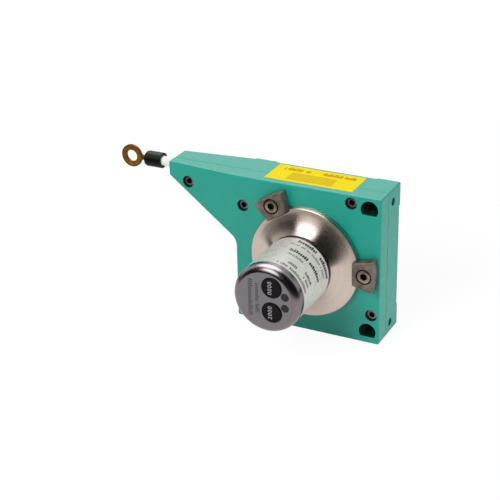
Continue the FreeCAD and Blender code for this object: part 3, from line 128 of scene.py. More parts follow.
class Tree(Graph):
    """A material and its node tree, with the calls that only finishes need."""

    SOCKETS = {
        "colour": "Base Color", "roughness": "Roughness", "metallic": "Metallic",
        "normal": "Normal", "tangent": "Tangent", "specular": "Specular IOR Level",
        "anisotropy": "Anisotropic", "turn": "Anisotropic Rotation",
    }

    def __init__(self, name):
        self.material = bpy.data.materials.new(name)
        self.material.use_nodes = True
        super().__init__(self.material.node_tree)
        self.shader = self.nodes["Principled BSDF"]
        self.place = self.add("ShaderNodeTexCoord").outputs["Object"]

    def set(self, **values):
        """Sets or links sockets of the surface shader."""
        for key, value in values.items():
            self.put(self.shader.inputs[self.SOCKETS[key]], value)

    def noise(self, scale, detail, roughness=0.55, place=None):
        inputs = {
            "Vector": place or self.place, "Scale": scale, "Detail": detail, "Roughness": roughness,
        }
        return self.add("ShaderNodeTexNoise", inputs).outputs["Fac"]

    def uneven(self, scale, low, high, detail=3.0):
        """A value that drifts between two ends."""
        return self.spread(self.noise(scale, detail), *SOFT_NOISE, low, high)

    def mottled(self, colour, second, scale):
        """A base colour that drifts between two close colours."""
        return self.blend(self.uneven(scale, 0.0, 1.0, 4.0), linear(*colour), linear(*second))

    def blend(self, share, first, second):
        inputs = {"Factor": share, 6: first, 7: second}
        return self.add("ShaderNodeMix", inputs, data_type="RGBA").outputs[2]

    def bump(self, height, microns):
        inputs = {"Height": height, "Distance": microns * MICRON, "Strength": 1.0}
        return self.add("ShaderNodeBump", inputs).outputs["Normal"]

    def grain(self, scale, microns):
        """The normal of a finely rough surface."""
        return self.bump(self.noise(scale, 2.0), microns)

    def axes(self):
        split = self.add("ShaderNodeSeparateXYZ", {"Vector": self.place})
        return split.outputs["X"], split.outputs["Y"], split.outputs["Z"]

    def radius(self, first, second):
        squares = self.math("MULTIPLY", first, first)
        return self.math("SQRT", self.math("MULTIPLY_ADD", second, second, squares))

    def distance(self, first, second, spot):
        """Distance from a spot, given in millimetres, in the plane of two axes."""
        aside = self.math("SUBTRACT", first, spot[0] * MM)
        return self.radius(aside, self.math("SUBTRACT", second, spot[1] * MM))

    def inside(self, value, low, high, soft):
        """1 where a value lies between two limits, with soft ends."""
        rise = self.spread(value, low - soft, low + soft, 0.0, 1.0)
        fall = self.spread(value, high - soft, high + soft, 1.0, 0.0)
        return self.math("MULTIPLY", rise, fall)

    def most(self, values):
        """The largest of several masks."""
        result = values[0]
        for value in values[1:]:
            result = self.math("MAXIMUM", result, value)
        return result

    def random(self, cell, row):
        """A fixed random number for a cell of a row."""
        spot = self.add("ShaderNodeCombineXYZ", {"X": cell, "Y": row}).outputs[0]
        made = self.add("ShaderNodeTexWhiteNoise", {"Vector": spot}, noise_dimensions="2D")
        return made.outputs["Value"]

    def strokes(self, along, across, row, reach, middle, half, pitch):
        """A row of plain blocks in groups, as wide and high as small print, but with no letters."""
        count = self.math("DIVIDE", along, pitch)
        cell = self.math("FLOOR", count)
        part = self.math("FRACT", count)
        there = self.math("GREATER_THAN", self.random(cell, row), EMPTY_CELLS)
        tall = self.math("GREATER_THAN", self.random(cell, row + 0.5), LOW_BLOCKS)
        top = self.math("MULTIPLY_ADD", tall, half * 0.5, middle + half * 0.5)
        under_top = self.math("LESS_THAN", across, top)
        over_base = self.math("GREATER_THAN", across, middle - half)
        body = self.math("MULTIPLY", self.inside(part, *BLOCK_SPAN, BLOCK_SOFT), there)
        body = self.math("MULTIPLY", body, self.math("MULTIPLY", under_top, over_base))
        groups = self.most([self.inside(along, *span, ROW_SOFT) for span in reach])
        return self.math("MULTIPLY", body, groups)


def linear(red, green, blue):
    """A colour written as 0 to 255 screen values, as a linear RGBA colour."""
    channels = []
    for value in (red, green, blue):
        share = value / 255
        channels.append(share / 12.92 if share <= 0.04045 else ((share + 0.055) / 1.055) ** 2.4)
    return (*channels, 1.0)


# ---------------------------------------------------------------- finishes

# Scales of the drift in colour, and the scale of the drift in gloss as a share of the grain's.
PAINT_DRIFT = 60.0
METAL_DRIFT = 220.0
GLOSS_DRIFT = 0.2

# Turned metal: its broad bands as a share of the tool marks, and the quarter turn of the
# anisotropy that draws a highlight out along the radius.
BROAD_SHARE = 0.12
QUARTER_TURN = 0.25


def painted(name, colour, second, rough, grain, microns, specular=0.5):
    """Moulded plastic, rubber or lacquer: drifting colour, uneven gloss and a fine grain."""
    tree = Tree(name)
    tree.set(
        colour=tree.mottled(colour, second, PAINT_DRIFT),
        roughness=tree.uneven(grain * GLOSS_DRIFT, *rough),
        normal=tree.grain(grain, microns),
        specular=specular,
    )
    return tree.material


def metal(name, colour, second, rough, grain, microns, metallic=1.0):
    """Plain metal with a fine grain."""
    tree = Tree(name)
    fine = tree.noise(grain, 2.0)
    tree.set(
        colour=tree.mottled(colour, second, METAL_DRIFT),
        roughness=tree.spread(fine, *FINE_NOISE, *rough),
        normal=tree.bump(fine, microns),
        metallic=metallic,
    )
    return tree.material


def turned(name, colour, second, rough, anisotropy, pitch, microns):
    """Lathe-turned metal: fine circular tool marks about the axis along Y."""
    tree = Tree(name)
    x, y, z = tree.axes()
    along = tree.add("ShaderNodeCombineXYZ", {"X": tree.radius(x, z), "Y": y}).outputs[0]
    marks = tree.noise(1.0 / pitch, 3.0, 0.7, place=along)
    broad = tree.noise(BROAD_SHARE / pitch, 2.0, 0.5, place=along)
    share = tree.spread(broad, *SOFT_NOISE, 0.0, 1.0)
    tree.set(
        colour=tree.blend(share, linear(*colour), linear(*second)),
        roughness=tree.spread(marks, *FINE_NOISE, *rough),
        normal=tree.bump(marks, microns),
        metallic=1.0,
        anisotropy=anisotropy,
        turn=QUARTER_TURN,
        tangent=tree.add("ShaderNodeTangent", direction_type="RADIAL", axis="Y").outputs[0],
    )
    return tree.material


# Two colours, the two ends of the roughness, the scale of the grain, its height in microns, and
# the specular level where it isn't 0.5.
PAINTED = {
    # socket_dark is painted shade: a near-black finish for the insides of the screws' hex sockets.
    "socket_dark": ((12, 10, 9), (18, 14, 12), (0.5, 0.65), 2600.0, 10, 0.1),
    "seal_black": ((20, 20, 21), (28, 28, 28), (0.45, 0.6), 1600.0, 10),
    "button_black": ((10, 8, 10), (15, 13, 15), (0.4, 0.52), 2600.0, 10, 0.12),
    "button_print": ((158, 154, 156), (148, 144, 146), (0.5, 0.6), 2600.0, 4),
    "window_smoke": ((38, 35, 34), (30, 28, 28), (0.1, 0.18), 1500.0, 3, 0.25),
    "sleeve_black": ((5, 5, 6), (10, 10, 11), (0.34, 0.46), 1300.0, 20, 0.16),
    "nozzle_white": ((236, 236, 232), (230, 230, 226), (0.35, 0.45), 1500.0, 6),
    "wiper_felt": ((206, 200, 186), (186, 178, 164), (0.85, 0.95), 4200.0, 120),
    "drum_plastic": ((38, 38, 40), (46, 46, 48), (0.38, 0.5), 1500.0, 10),
    "board_green": ((18, 92, 52), (24, 106, 60), (0.25, 0.4), 700.0, 10),
    "switch_black": ((26, 26, 28), (34, 34, 36), (0.4, 0.5), 1800.0, 10),
    "led_clear": ((208, 214, 206), (196, 204, 196), (0.1, 0.2), 900.0, 4),
}

# The same, with the metallic share last where it isn't 1.
METAL = {
    "clamp_steel": ((142, 128, 119), (84, 75, 69), (0.36, 0.54), 1800.0, 10, 0.7),
    "screw_steel": ((180, 166, 142), (100, 86, 68), (0.22, 0.4), 2600.0, 10),
    "screw_black": ((136, 126, 132), (84, 77, 82), (0.24, 0.4), 2600.0, 10),
    "wire_steel": ((198, 198, 198), (176, 176, 178), (0.2, 0.34), 3000.0, 8),
    "ferrule_metal": ((200, 200, 202), (186, 186, 190), (0.3, 0.42), 1800.0, 10),
    "spring_steel": ((92, 98, 118), (74, 82, 108), (0.25, 0.4), 900.0, 6),
    "magnet_ferrite": ((92, 92, 96), (72, 72, 76), (0.45, 0.6), 1800.0, 20),
    "nickel_brass": ((140, 136, 128), (126, 122, 114), (0.4, 0.52), 1600.0, 4),
}

# Two colours, roughness, anisotropy, the pitch of the tool marks, their height in microns.
TURNED = {
    "turned_steel": ((210, 194, 183), (203, 187, 176), (0.25, 0.31), 0.97, 0.22 * MM, 3),
    "cap_metal": ((134, 124, 127), (125, 116, 119), (0.2, 0.28), 0.3, 0.3 * MM, 3),
    "bearing_steel": ((206, 206, 210), (196, 196, 200), (0.1, 0.2), 0.5, 0.2 * MM, 2),
    "shaft_steel": ((200, 200, 202), (190, 190, 192), (0.14, 0.24), 0.5, 0.2 * MM, 2),
}

# Rows of blocks on the label: place along the tube in mm, half height in mm, start and end
# angles in degrees, strength of the ink.
LABEL_ROWS = [
    (-62.7, 1.0, [(11, 82)], 0.8),
    (-59.3, 0.95, [(16, 38), (51, 68)], 0.84),
    (-56.2, 0.95, [(15, 37)], 0.9),
    (-52.4, 0.95, [(51, 80)], 0.7),
    (-48.5, 1.2, [(9, 44), (48, 82)], 1.0),
    (-42.7, 0.8, [(6, 90)], 0.66),
    (-39.0, 1.25, [(-2, 38), (47, 84)], 1.0),
]
LABEL_RADIUS = 17.32 * MM


def label():
    """The white label on the tube, with rows of plain blocks where print would be."""
    tree = Tree("label_white")
    x, y, z = tree.axes()
    along = tree.math("MULTIPLY", tree.math("ARCTAN2", z, x), LABEL_RADIUS)
    rows = []
    for number, (middle, half, spans, strength) in enumerate(LABEL_ROWS):
        reach = [[math.radians(end) * LABEL_RADIUS for end in span] for span in spans]
        row = tree.strokes(along, y, number + 1.0, reach, middle * MM, half * MM, half * MM)
        rows.append(tree.math("MULTIPLY", row, strength))
    paper = tree.mottled((213, 212, 206), (207, 206, 199), PAINT_DRIFT)
    tree.set(
        colour=tree.blend(tree.most(rows), paper, linear(30, 32, 34)),
        roughness=tree.uneven(180.0, 0.24, 0.32),
        normal=tree.grain(900.0, 4),
    )
    return tree.material


# Holes in the housing, in mm: places and radii of the cover screws' counterbores and the mounting
# pockets (x, z) and of the cross holes (y, z). After them, in metres, where the painted shade in
# each kind turns dark.
COVER_SPOTS = [(23.54, 34.90), (-34.90, 23.54), (-23.54, -34.90), (34.90, -23.54)]
NOSE_SPOT = (-67.35, 30.0)
COUNTERBORE = 3.2
POCKET_SPOTS = [(33.05, 33.05), (33.05, -33.05), (-33.05, -33.05)]
POCKET = 4.62
FRONT_SHADE_FROM, FRONT_SHADE_AT, REAR_LIMIT = -24.7 * MM, -24.2 * MM, -6.0 * MM
CROSS_SPOTS = [(-9.5, 32.55), (-9.5, -33.55)]
CROSS_HOLE = 2.2
CROSS_SHADE_AT, CROSS_SHADE_FROM = 37.2 * MM, 39.1 * MM


def paint():
    """The housing's green paint, with painted shade that makes it near black down in its holes."""
    tree = Tree("housing_paint")
    x, y, z = tree.axes()

    def holes(first, second, spots, radius):
        reach = [tree.distance(first, second, spot) for spot in spots]
        return [tree.math("LESS_THAN", each, radius * MM) for each in reach]

    # Painted shade: the paint turns near black down in the counterbores and pockets, from just behind
    # the front face.
    front = tree.most(
        holes(x, z, COVER_SPOTS + [NOSE_SPOT], COUNTERBORE) + holes(x, z, POCKET_SPOTS, POCKET)
    )
    painted_hole_shade = tree.math("MULTIPLY", front, tree.spread(y, FRONT_SHADE_FROM, FRONT_SHADE_AT, 0.0, 0.9))
    painted_hole_shade = tree.math("MULTIPLY", painted_hole_shade, tree.math("LESS_THAN", y, REAR_LIMIT))
    # Painted shade in the cross holes on the right end, darker further in.
    side = tree.most(holes(y, z, CROSS_SPOTS, CROSS_HOLE))
    cross = tree.math("MULTIPLY", side, tree.spread(x, CROSS_SHADE_AT, CROSS_SHADE_FROM, 0.8, 0.0))
    green = tree.mottled((0, 145, 127), (4, 149, 132), PAINT_DRIFT)
    # The holes' painted shade blends the green towards near black.
    tree.set(
        colour=tree.blend(tree.math("MAXIMUM", painted_hole_shade, cross), green, linear(2, 14, 13)),
        roughness=tree.uneven(300.0, 0.36, 0.46),
        normal=tree.grain(1500.0, 20),
        specular=0.6,
    )
    return tree.material


# Columns of blocks on the face plate, in mm: start, end, middle, half width, pitch.
PLATE_COLUMNS = [(-9.2, 10.6, -7.4, 1.2, 1.15), (-7.0, 8.6, -3.8, 1.05, 1.1)]
PLATE_INK = 0.75


def plate():
    """The grey face plate, satin, with two columns of plain blocks."""
    tree = Tree("plate_grey")
    x, _, z = tree.axes()
    columns = []
    for number, (start, end, middle, half, pitch) in enumerate(PLATE_COLUMNS):
        reach = [(start * MM, end * MM)]
        columns.append(tree.strokes(z, x, number + 1.0, reach, middle * MM, half * MM, pitch * MM))
    ink = tree.math("MULTIPLY", tree.most(columns), PLATE_INK)
    grey = tree.mottled((113, 108, 112), (109, 105, 108), 90.0)
    tree.set(
        colour=tree.blend(ink, grey, linear(58, 54, 58)),
        roughness=tree.uneven(500.0, 0.45, 0.56),
        normal=tree.grain(2400.0, 6),
        specular=0.4,
    )
    return tree.material


# The sticker's field of lines and its two bars of blocks: their limits, and their ink.
FIELD_X = (-14.0 * MM, 10.5 * MM)
FIELD_Y = (-19.4 * MM, -10.2 * MM)
FIELD_SOFT = 0.2 * MM
FIELD_INK, LINE_INK = 0.3, 0.14
LINE_PITCH, LINE_SHARE = 1.9 * MM, 0.62
BARS_X = [(-20.0 * MM, -5.6 * MM), (1.2 * MM, 19.0 * MM)]
BARS_Y, BAR_HALF, BAR_PITCH, BAR_INK = -6.4 * MM, 1.7 * MM, 0.9 * MM, 0.85


def sticker():
    """The yellow sticker, matt, with two bars of plain blocks and a field of plain lines."""
    tree = Tree("sticker_yellow")
    x, y, _ = tree.axes()
    field = tree.math(
        "MULTIPLY", tree.inside(x, *FIELD_X, FIELD_SOFT), tree.inside(y, *FIELD_Y, FIELD_SOFT)
    )
    part = tree.math("FRACT", tree.math("DIVIDE", y, LINE_PITCH))
    lines = tree.math("LESS_THAN", part, LINE_SHARE)
    field = tree.math("MULTIPLY", field, tree.math("MULTIPLY_ADD", lines, LINE_INK, FIELD_INK))
    bars = tree.strokes(x, y, 3.0, BARS_X, BARS_Y, BAR_HALF, BAR_PITCH)
    ink = tree.math("MAXIMUM", field, tree.math("MULTIPLY", bars, BAR_INK))
    yellow = tree.mottled((254, 232, 18), (251, 224, 14), PAINT_DRIFT)
    tree.set(
        colour=tree.blend(ink, yellow, linear(172, 124, 4)),
        roughness=tree.uneven(300.0, 0.55, 0.68),
        normal=tree.grain(900.0, 4),
        specular=0.15,
    )
    return tree.material


# The ring terminal: its middle (x, z) in mm, and the radii between which its rims turn brown.
TERMINAL_MIDDLE = (-106.0, 35.0)
OUTER_RIM = (5.0 * MM, 6.1 * MM)
INNER_RIM = (3.2 * MM, 4.0 * MM)


def brass():
    """The stamped ring terminal: brass, browner towards its inner and outer rims."""
    tree = Tree("terminal_brass")
    x, _, z = tree.axes()
    reach = tree.distance(x, z, TERMINAL_MIDDLE)
    outer = tree.spread(reach, *OUTER_RIM, 0.0, 1.0)
    rims = tree.math("MAXIMUM", outer, tree.spread(reach, *INNER_RIM, 1.0, 0.0))
    share = tree.math("MULTIPLY", rims, tree.uneven(700.0, 0.5, 1.0))
    face = tree.mottled((176, 122, 50), (140, 92, 34), 420.0)
    tree.set(
        colour=tree.blend(share, face, linear(84, 52, 20)),
        roughness=tree.uneven(1500.0, 0.28, 0.44),
        normal=tree.grain(1500.0, 10),
        metallic=1.0,
    )
    return tree.material


MATERIALS = {
    "housing_paint": paint(),
    "label_white": label(),
    "plate_grey": plate(),
    "sticker_yellow": sticker(),
    "terminal_brass": brass(),
}
for finish, table in ((painted, PAINTED), (metal, METAL), (turned, TURNED)):
    for name, values in table.items():
        MATERIALS[name] = finish(name, *values)


# ---------------------------------------------------------------- dress the carried-over nodes

for part in frame["record"]["subparts"]:
    skin = NODES[part["node"]].data.materials
    skin.clear()
    skin.append(MATERIALS[part["material_slot"]])


# ---------------------------------------------------------------- pieces of their own


def piece(name, mesh, body, node, slots):
    """Adds a mesh as a piece that stands for a node and rides on its body, if it has one."""
    obj = bpy.data.objects.new(name, mesh)
    bpy.context.scene.collection.objects.link(obj)
    for slot in slots:
        mesh.materials.append(MATERIALS[slot])
    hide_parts(node)
    if body:
        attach(obj, body)
    return obj


def mesh_of(name, bm, sharp=30):
    """Turns mesh code into a mesh, smooth but for edges sharper than an angle."""
    bmesh.ops.recalc_face_normals(bm, faces=bm.faces)
    for face in bm.faces:
        face.smooth = True
    for edge in bm.edges:
        if len(edge.link_faces) == 2 and edge.calc_face_angle() > math.radians(sharp):
            edge.smooth = False
    mesh = bpy.data.meshes.new(name)
    bm.to_mesh(mesh)
    bm.free()
    return mesh


def skin_rings(bm, rings, slots=None):
    """Joins rings of equal count with quads; slots gives each strip's material."""
    for index, (first, second) in enumerate(zip(rings, rings[1:])):
        count = len(first)
        for turn in range(count):
            after = (turn + 1) % count
            face = bm.faces.new((first[turn], first[after], second[after], second[turn]))
            if slots:
                face.material_index = slots[index]


def ring(bm, spot, y, reach, count):
    """A ring of points about an axis along Y; reach gives the radius at an angle."""
    points = []
    for turn in range(count):
        angle = math.tau * turn / count
        radius = reach(angle, turn)
        x = spot[0] + radius * math.cos(angle)
        points.append(bm.verts.new((x, y, spot[1] + radius * math.sin(angle))))
    return points


def round_ring(radius):
    return lambda angle, turn: radius


def knurled_ring(radius, depth):
    return lambda angle, turn: radius - (depth if turn % 2 else 0.0)


def hexagon_ring(half, turned_by):
    """Half is the distance from the middle to a flat."""
    def reach(angle, turn):
        return half / math.cos((angle + turned_by) % math.radians(60) - math.radians(30))
    return reach


# ---------------------------------------------------------------- screws

SCREW_SIDES = 72
SCREW_TWIST = 0.37
SOCKET_CHAMFER = 0.16 * MM
SHANK_LEAD, SHANK_TAPER = 0.4 * MM, 0.35 * MM


def socket_screws(bm, spots, head, shank, key, turned_by):
    """Knurled socket-head screws: a spot is (x, z, top y), head and shank are (radius, length)."""
    radius, height = head
    edge = radius * 0.14
    knurl = radius * 0.035
    for number, (x, z, top) in enumerate(spots):
        spot = (x, z)
        turn = turned_by + number * SCREW_TWIST
        under = top + height
        depth = top + height * 0.6
        # From the socket's floor over the rim and down the knurled side to the end of the shank.
        outline = [
            (depth, hexagon_ring(key / 2, turn)),
            (top + SOCKET_CHAMFER, hexagon_ring(key / 2, turn)),
            (top, hexagon_ring(key / 2 * 1.14, turn)),
            (top, round_ring(radius - edge)),
            (top + edge * 0.3, round_ring(radius - edge * 0.3)),
            (top + edge, round_ring(radius)),
            (top + edge * 1.5, knurled_ring(radius, knurl)),
            (under - height * 0.1, knurled_ring(radius, knurl)),
            (under - height * 0.05, round_ring(radius - radius * 0.02)),
            (under, round_ring(radius - radius * 0.06)),
            (under, round_ring(shank[0])),
            (under + shank[1] - SHANK_LEAD, round_ring(shank[0])),
            (under + shank[1], round_ring(shank[0] - SHANK_TAPER)),
        ]
        rings = [ring(bm, spot, y, reach, SCREW_SIDES) for y, reach in outline]
        # The socket's walls, its chamfer and its floor take the second slot, near black: painted
        # shade in the socket.
        skin_rings(bm, rings, [1, 1] + [0] * (len(outline) - 3))
        bottom = bm.verts.new((x, depth + key * 0.12, z))
        end = bm.verts.new((x, under + shank[1], z))
        for side in range(SCREW_SIDES):
            after = (side + 1) % SCREW_SIDES
            floor_face = bm.faces.new((rings[0][side], bottom, rings[0][after]))
            floor_face.material_index = 1
            bm.faces.new((rings[-1][side], rings[-1][after], end))


# Five cover screws, of which the fifth sits lower, in the nose.
COVER_TOP = -23.6 * MM
NOSE_TOP = -21.116 * MM
COVER_HEAD = (2.75 * MM, 3.8 * MM)
COVER_SHANK = 1.5 * MM
COVER_KEY = 2.5 * MM
SHANK_END = -5.8 * MM
bm = bmesh.new()
for spots, top, turned_by in ((COVER_SPOTS, COVER_TOP, 0.4), ([NOSE_SPOT], NOSE_TOP, 0.1)):
    places = [(x * MM, z * MM, top) for x, z in spots]
    shank = (COVER_SHANK, SHANK_END - top - COVER_HEAD[1])
    socket_screws(bm, places, COVER_HEAD, shank, COVER_KEY, turned_by)
screw_mesh = mesh_of("cover_screw_set", bm)
piece("cover_screw_set", screw_mesh, "housing", "cover_screws", ["screw_black", "socket_dark"])

# Three clamp screws round the encoder.
CLAMP_CIRCLE = 32.9 * MM
CLAMP_TOP = -30.58 * MM
CLAMP_HEAD = (3.5 * MM, 3.18 * MM)
CLAMP_SHANK = (2.0 * MM, 7.0 * MM)
CLAMP_KEY = 3.0 * MM
places = []
for third in range(3):
    angle = math.tau * third / 3
    places.append((CLAMP_CIRCLE * math.cos(angle), CLAMP_CIRCLE * math.sin(angle), CLAMP_TOP))
bm = bmesh.new()
socket_screws(bm, places, CLAMP_HEAD, CLAMP_SHANK, CLAMP_KEY, 0.3)
screw_mesh = mesh_of("clamp_screw_set", bm)
piece("clamp_screw_set", screw_mesh, "housing", "clamp_screws", ["screw_steel", "socket_dark"])


# ---------------------------------------------------------------- encoder flange

# The flange is turned in one piece. Its profile is (radius, y) in mm: from the bore round the
# pilot and the land, up the flare to the tube, and back along the neck inside the tube.
PILOT = [(6.55, -21.8), (24.7, -21.8), (25.0, -22.1), (25.0, -24.8)]
LAND = [(29.0, -24.8), (29.0, -27.7), (28.9, -27.95), (28.65, -28.1)]
FLARE_FOOT, FLARE_HEAD = (26.6, -28.1), (17.2, -33.8)
FLARE_STEPS = 16
NECK = [(15.9, -33.8), (15.9, -39.3), (15.0, -39.3), (15.0, -41.7), (6.55, -41.7)]
FLANGE_SIDES = 192

profile = PILOT + LAND
for step in range(FLARE_STEPS + 1):
    share = step / FLARE_STEPS
    rise = 0.5 * share + 0.5 * share ** 3
    radius = FLARE_FOOT[0] + (FLARE_HEAD[0] - FLARE_FOOT[0]) * share
    profile.append((radius, FLARE_FOOT[1] + (FLARE_HEAD[1] - FLARE_FOOT[1]) * rise))
profile += NECK
bm = bmesh.new()
rings = []
for radius, y in profile:
    rings.append(ring(bm, (0.0, 0.0), y * MM, round_ring(radius * MM), FLANGE_SIDES))
skin_rings(bm, rings + [rings[0]])
flange_mesh = mesh_of("turned_flange", bm)
piece("turned_flange", flange_mesh, "housing", "encoder_flange", ["turned_steel"])


# ---------------------------------------------------------------- set buttons, with plain numbers

BUTTON_TOP = -72.7 * MM
BUTTON_FLANGE = -69.3 * MM
BUTTON_INNER = -68.3 * MM
BUTTON_DISH = 0.16 * MM
BUTTON_SIDES = 64

# The button's profile from the middle of the dish to its underside: (radius in mm, y).
BUTTON_PROFILE = [
    (1.4, BUTTON_TOP + BUTTON_DISH),
    (3.4, BUTTON_TOP + BUTTON_DISH * 0.94),
    (3.9, BUTTON_TOP + BUTTON_DISH * 0.72),
    (4.2, BUTTON_TOP + BUTTON_DISH * 0.3),
    (4.42, BUTTON_TOP + 0.012 * MM),
    (4.6, BUTTON_TOP),
    (4.78, BUTTON_TOP + 0.04 * MM),
    (4.93, BUTTON_TOP + 0.14 * MM),
    (5.02, BUTTON_TOP + 0.3 * MM),
    (5.04, BUTTON_TOP + 0.5 * MM),
    (5.04, BUTTON_FLANGE),
    (5.74, BUTTON_FLANGE),
    (5.74, BUTTON_INNER),
    (2.0, BUTTON_INNER),
]

# The numbers on the buttons: height, half thickness, where their middle lies from the button's
# middle and behind the dish, and the distance at which their points are welded.
NUMBER_HEIGHT = 2.1 * MM
NUMBER_HALF = 0.03 * MM
NUMBER_SHIFT = -0.65 * MM
NUMBER_Y = BUTTON_TOP + BUTTON_DISH + 0.01 * MM
WELD = 0.0005 * MM
DIGIT_SHARE = 0.7


def numerals(text, height, spot, y):
    """Thin solid numbers in the built-in typeface, with their middle in a plane across Y."""
    curve = bpy.data.curves.new("numbers", "FONT")
    curve.body = text
    curve.size = height / DIGIT_SHARE
    curve.align_x = "CENTER"
    curve.align_y = "CENTER"
    curve.space_character = 1.2
    curve.offset = height * 0.012
    curve.extrude = NUMBER_HALF
    curve.resolution_u = 4
    letters = bpy.data.objects.new("numbers", curve)
    solid = bpy.data.meshes.new_from_object(letters)
    bpy.data.objects.remove(letters)
    bpy.data.curves.remove(curve)
    # The text runs up the part, its top is towards -X.
    solid.transform(Matrix(((0, -1, 0, spot[0]), (0, 0, -1, y), (1, 0, 0, spot[1]), (0, 0, 0, 1))))
    return solid


def set_button(name, body, node, spot, text):
    """A button with a rounded rim, a shallow dish, and thin raised numbers in the dish."""
    bm = bmesh.new()
    rings = []
    for radius, y in BUTTON_PROFILE:
        rings.append(ring(bm, spot, y, round_ring(radius * MM), BUTTON_SIDES))
    skin_rings(bm, rings)
    bm.faces.new(rings[0])
    bm.faces.new(rings[-1])
    mesh = mesh_of(name, bm)
    numbers = numerals(text, NUMBER_HEIGHT, (spot[0] + NUMBER_SHIFT, spot[1]), NUMBER_Y)
    joined = bmesh.new()
    joined.from_mesh(mesh)
    before = len(joined.faces)
    joined.from_mesh(numbers)
    bmesh.ops.remove_doubles(joined, verts=joined.verts, dist=WELD)
    joined.faces.ensure_lookup_table()
    number_faces = joined.faces[before:]
    bmesh.ops.recalc_face_normals(joined, faces=number_faces)
    for face in number_faces:
        face.material_index = 1
    joined.to_mesh(mesh)
    joined.free()
    bpy.data.meshes.remove(numbers)
    return piece(name, mesh, body, node, ["button_black", "button_print"])


BUTTONS_X = 3.744 * MM
UPPER_Z, LOWER_Z = 7.48 * MM, -5.48 * MM
set_button("set_button_upper", "upper_button", "set_button_1", (BUTTONS_X, UPPER_Z), "0000")
set_button("set_button_lower", "lower_button", "set_button_2", (BUTTONS_X, LOWER_Z), "2000")


# ---------------------------------------------------------------- draw wire, six strands round a core

WIRE_AXIS = Vector((0.0, -12.9 * MM, 35.0 * MM))
WIRE_RADIUS = 0.4 * MM
WIRE_ENDS = (-94.2 * MM, -8.48 * MM)
WIRE_LAY = 4.2 * MM
WIRE_SIDES = 24
WIRE_STEPS = 300
GROOVE = 0.12

bm = bmesh.new()
rings = []
for step in range(WIRE_STEPS + 1):
    x = WIRE_ENDS[0] + (WIRE_ENDS[1] - WIRE_ENDS[0]) * step / WIRE_STEPS
    twist = math.tau * x / WIRE_LAY
    points = []
    for turn in range(WIRE_SIDES):
        angle = math.tau * turn / WIRE_SIDES
        radius = WIRE_RADIUS * (1 - GROOVE + GROOVE * abs(math.cos(3 * (angle - twist))))
        y = WIRE_AXIS.y + radius * math.cos(angle)
        points.append(bm.verts.new((x, y, WIRE_AXIS.z + radius * math.sin(angle))))
    rings.append(points)
skin_rings(bm, rings)
bm.faces.new(rings[0])
bm.faces.new(rings[-1])
wire = piece("stranded_wire", mesh_of("stranded_wire", bm, 80), None, "draw_wire", ["wire_steel"])
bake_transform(wire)


# ---------------------------------------------------------------- studio

CENTRE = Vector((0.0, -30.0 * MM, 0.0))

# Camera of the photograph.
CAMERA_PLACE = (0.240885, -0.549593, 0.28389)
CAMERA_RIGHT = (0.892249, 0.450998, -0.022211)
CAMERA_BACK = (0.415092, -0.799853, 0.433512)
camera_data = bpy.data.cameras.new("camera")
camera_data.sensor_width = 36
camera_data.lens = 93.0265
camera_data.clip_start = 0.01
camera = bpy.data.objects.new("camera", camera_data)
bpy.context.scene.collection.objects.link(camera)
back = Vector(CAMERA_BACK).normalized()
up = back.cross(Vector(CAMERA_RIGHT).normalized()).normalized()
turn = Matrix((up.cross(back), up, back)).transposed().to_4x4()
camera.matrix_world = Matrix.Translation(CAMERA_PLACE) @ turn
bpy.context.scene.camera = camera

# Lamps: direction from the encoder, distance, size, power. Metal reflects the world, not these.
LAMPS = {
    "key": ((-0.25, -0.76, 0.59), 1.2, 0.5, 9.8),
    "fill": ((0.93, -0.12, 0.3), 1.3, 0.8, 8.0),
    "top": ((0.1, 0.25, 0.96), 1.3, 0.8, 0.3),
    "rear": ((-0.35, 0.85, 0.4), 1.4, 0.8, 2.5),
}
for name, (direction, distance, size, power) in LAMPS.items():
    data = bpy.data.lights.new(name, "AREA")
    data.shape = "SQUARE"
    data.size = size
    data.energy = power
    lamp = bpy.data.objects.new(name, data)
    bpy.context.scene.collection.objects.link(lamp)
    toward = Vector(direction).normalized()
    lamp.location = CENTRE + toward * distance
    lamp.rotation_euler = (-toward).to_track_quat("-Z", "Y").to_euler()
    lamp.visible_glossy = False

# Seen straight, the studio is white. Metal reflects a dark hood with three bright patches, each
# given by its direction, the cosines at which it fades in and is full, and its strength.
BACKDROP = ((-0.35, 0.93, 0.1), 0.0, 0.35, 1.05)
OVERHEAD = ((-0.25, 0.35, 0.9), 0.8, 0.95, 5.6)
FORWARD = ((-0.19, -0.65, 0.737), 0.91, 0.975, 4.8)
HOOD = 0.02
MATT_LIGHT = 0.31

world = bpy.data.worlds.new("studio")
bpy.context.scene.world = world
world.use_nodes = True
world.node_tree.nodes.clear()
tree = Graph(world.node_tree)
rays = tree.add("ShaderNodeLightPath").outputs
look = tree.add("ShaderNodeTexCoord").outputs["Generated"]
patches = []
for direction, low, high, strength in (BACKDROP, OVERHEAD, FORWARD):
    inputs = {0: look, 1: Vector(direction).normalized()}
    facing = tree.add("ShaderNodeVectorMath", inputs, operation="DOT_PRODUCT").outputs["Value"]
    patches.append(tree.math("MULTIPLY", tree.smooth(facing, low, high), strength))
hood = tree.math("MAXIMUM", patches[0], tree.math("ADD", patches[1], patches[2]))
hood = tree.math("ADD", hood, HOOD)
seen = tree.math("MAXIMUM", rays["Is Camera Ray"], rays["Is Transmission Ray"])
gloss = tree.math("MULTIPLY", rays["Is Glossy Ray"], hood)
not_matt = tree.math("MAXIMUM", seen, rays["Is Glossy Ray"])
matt = tree.math("MULTIPLY", tree.math("SUBTRACT", 1.0, not_matt), MATT_LIGHT)
strength = tree.math("MAXIMUM", tree.math("MAXIMUM", seen, gloss), matt)
sky = tree.add("ShaderNodeBackground", {"Color": (1, 1, 1, 1), "Strength": strength})
tree.add("ShaderNodeOutputWorld", {0: sky.outputs[0]})

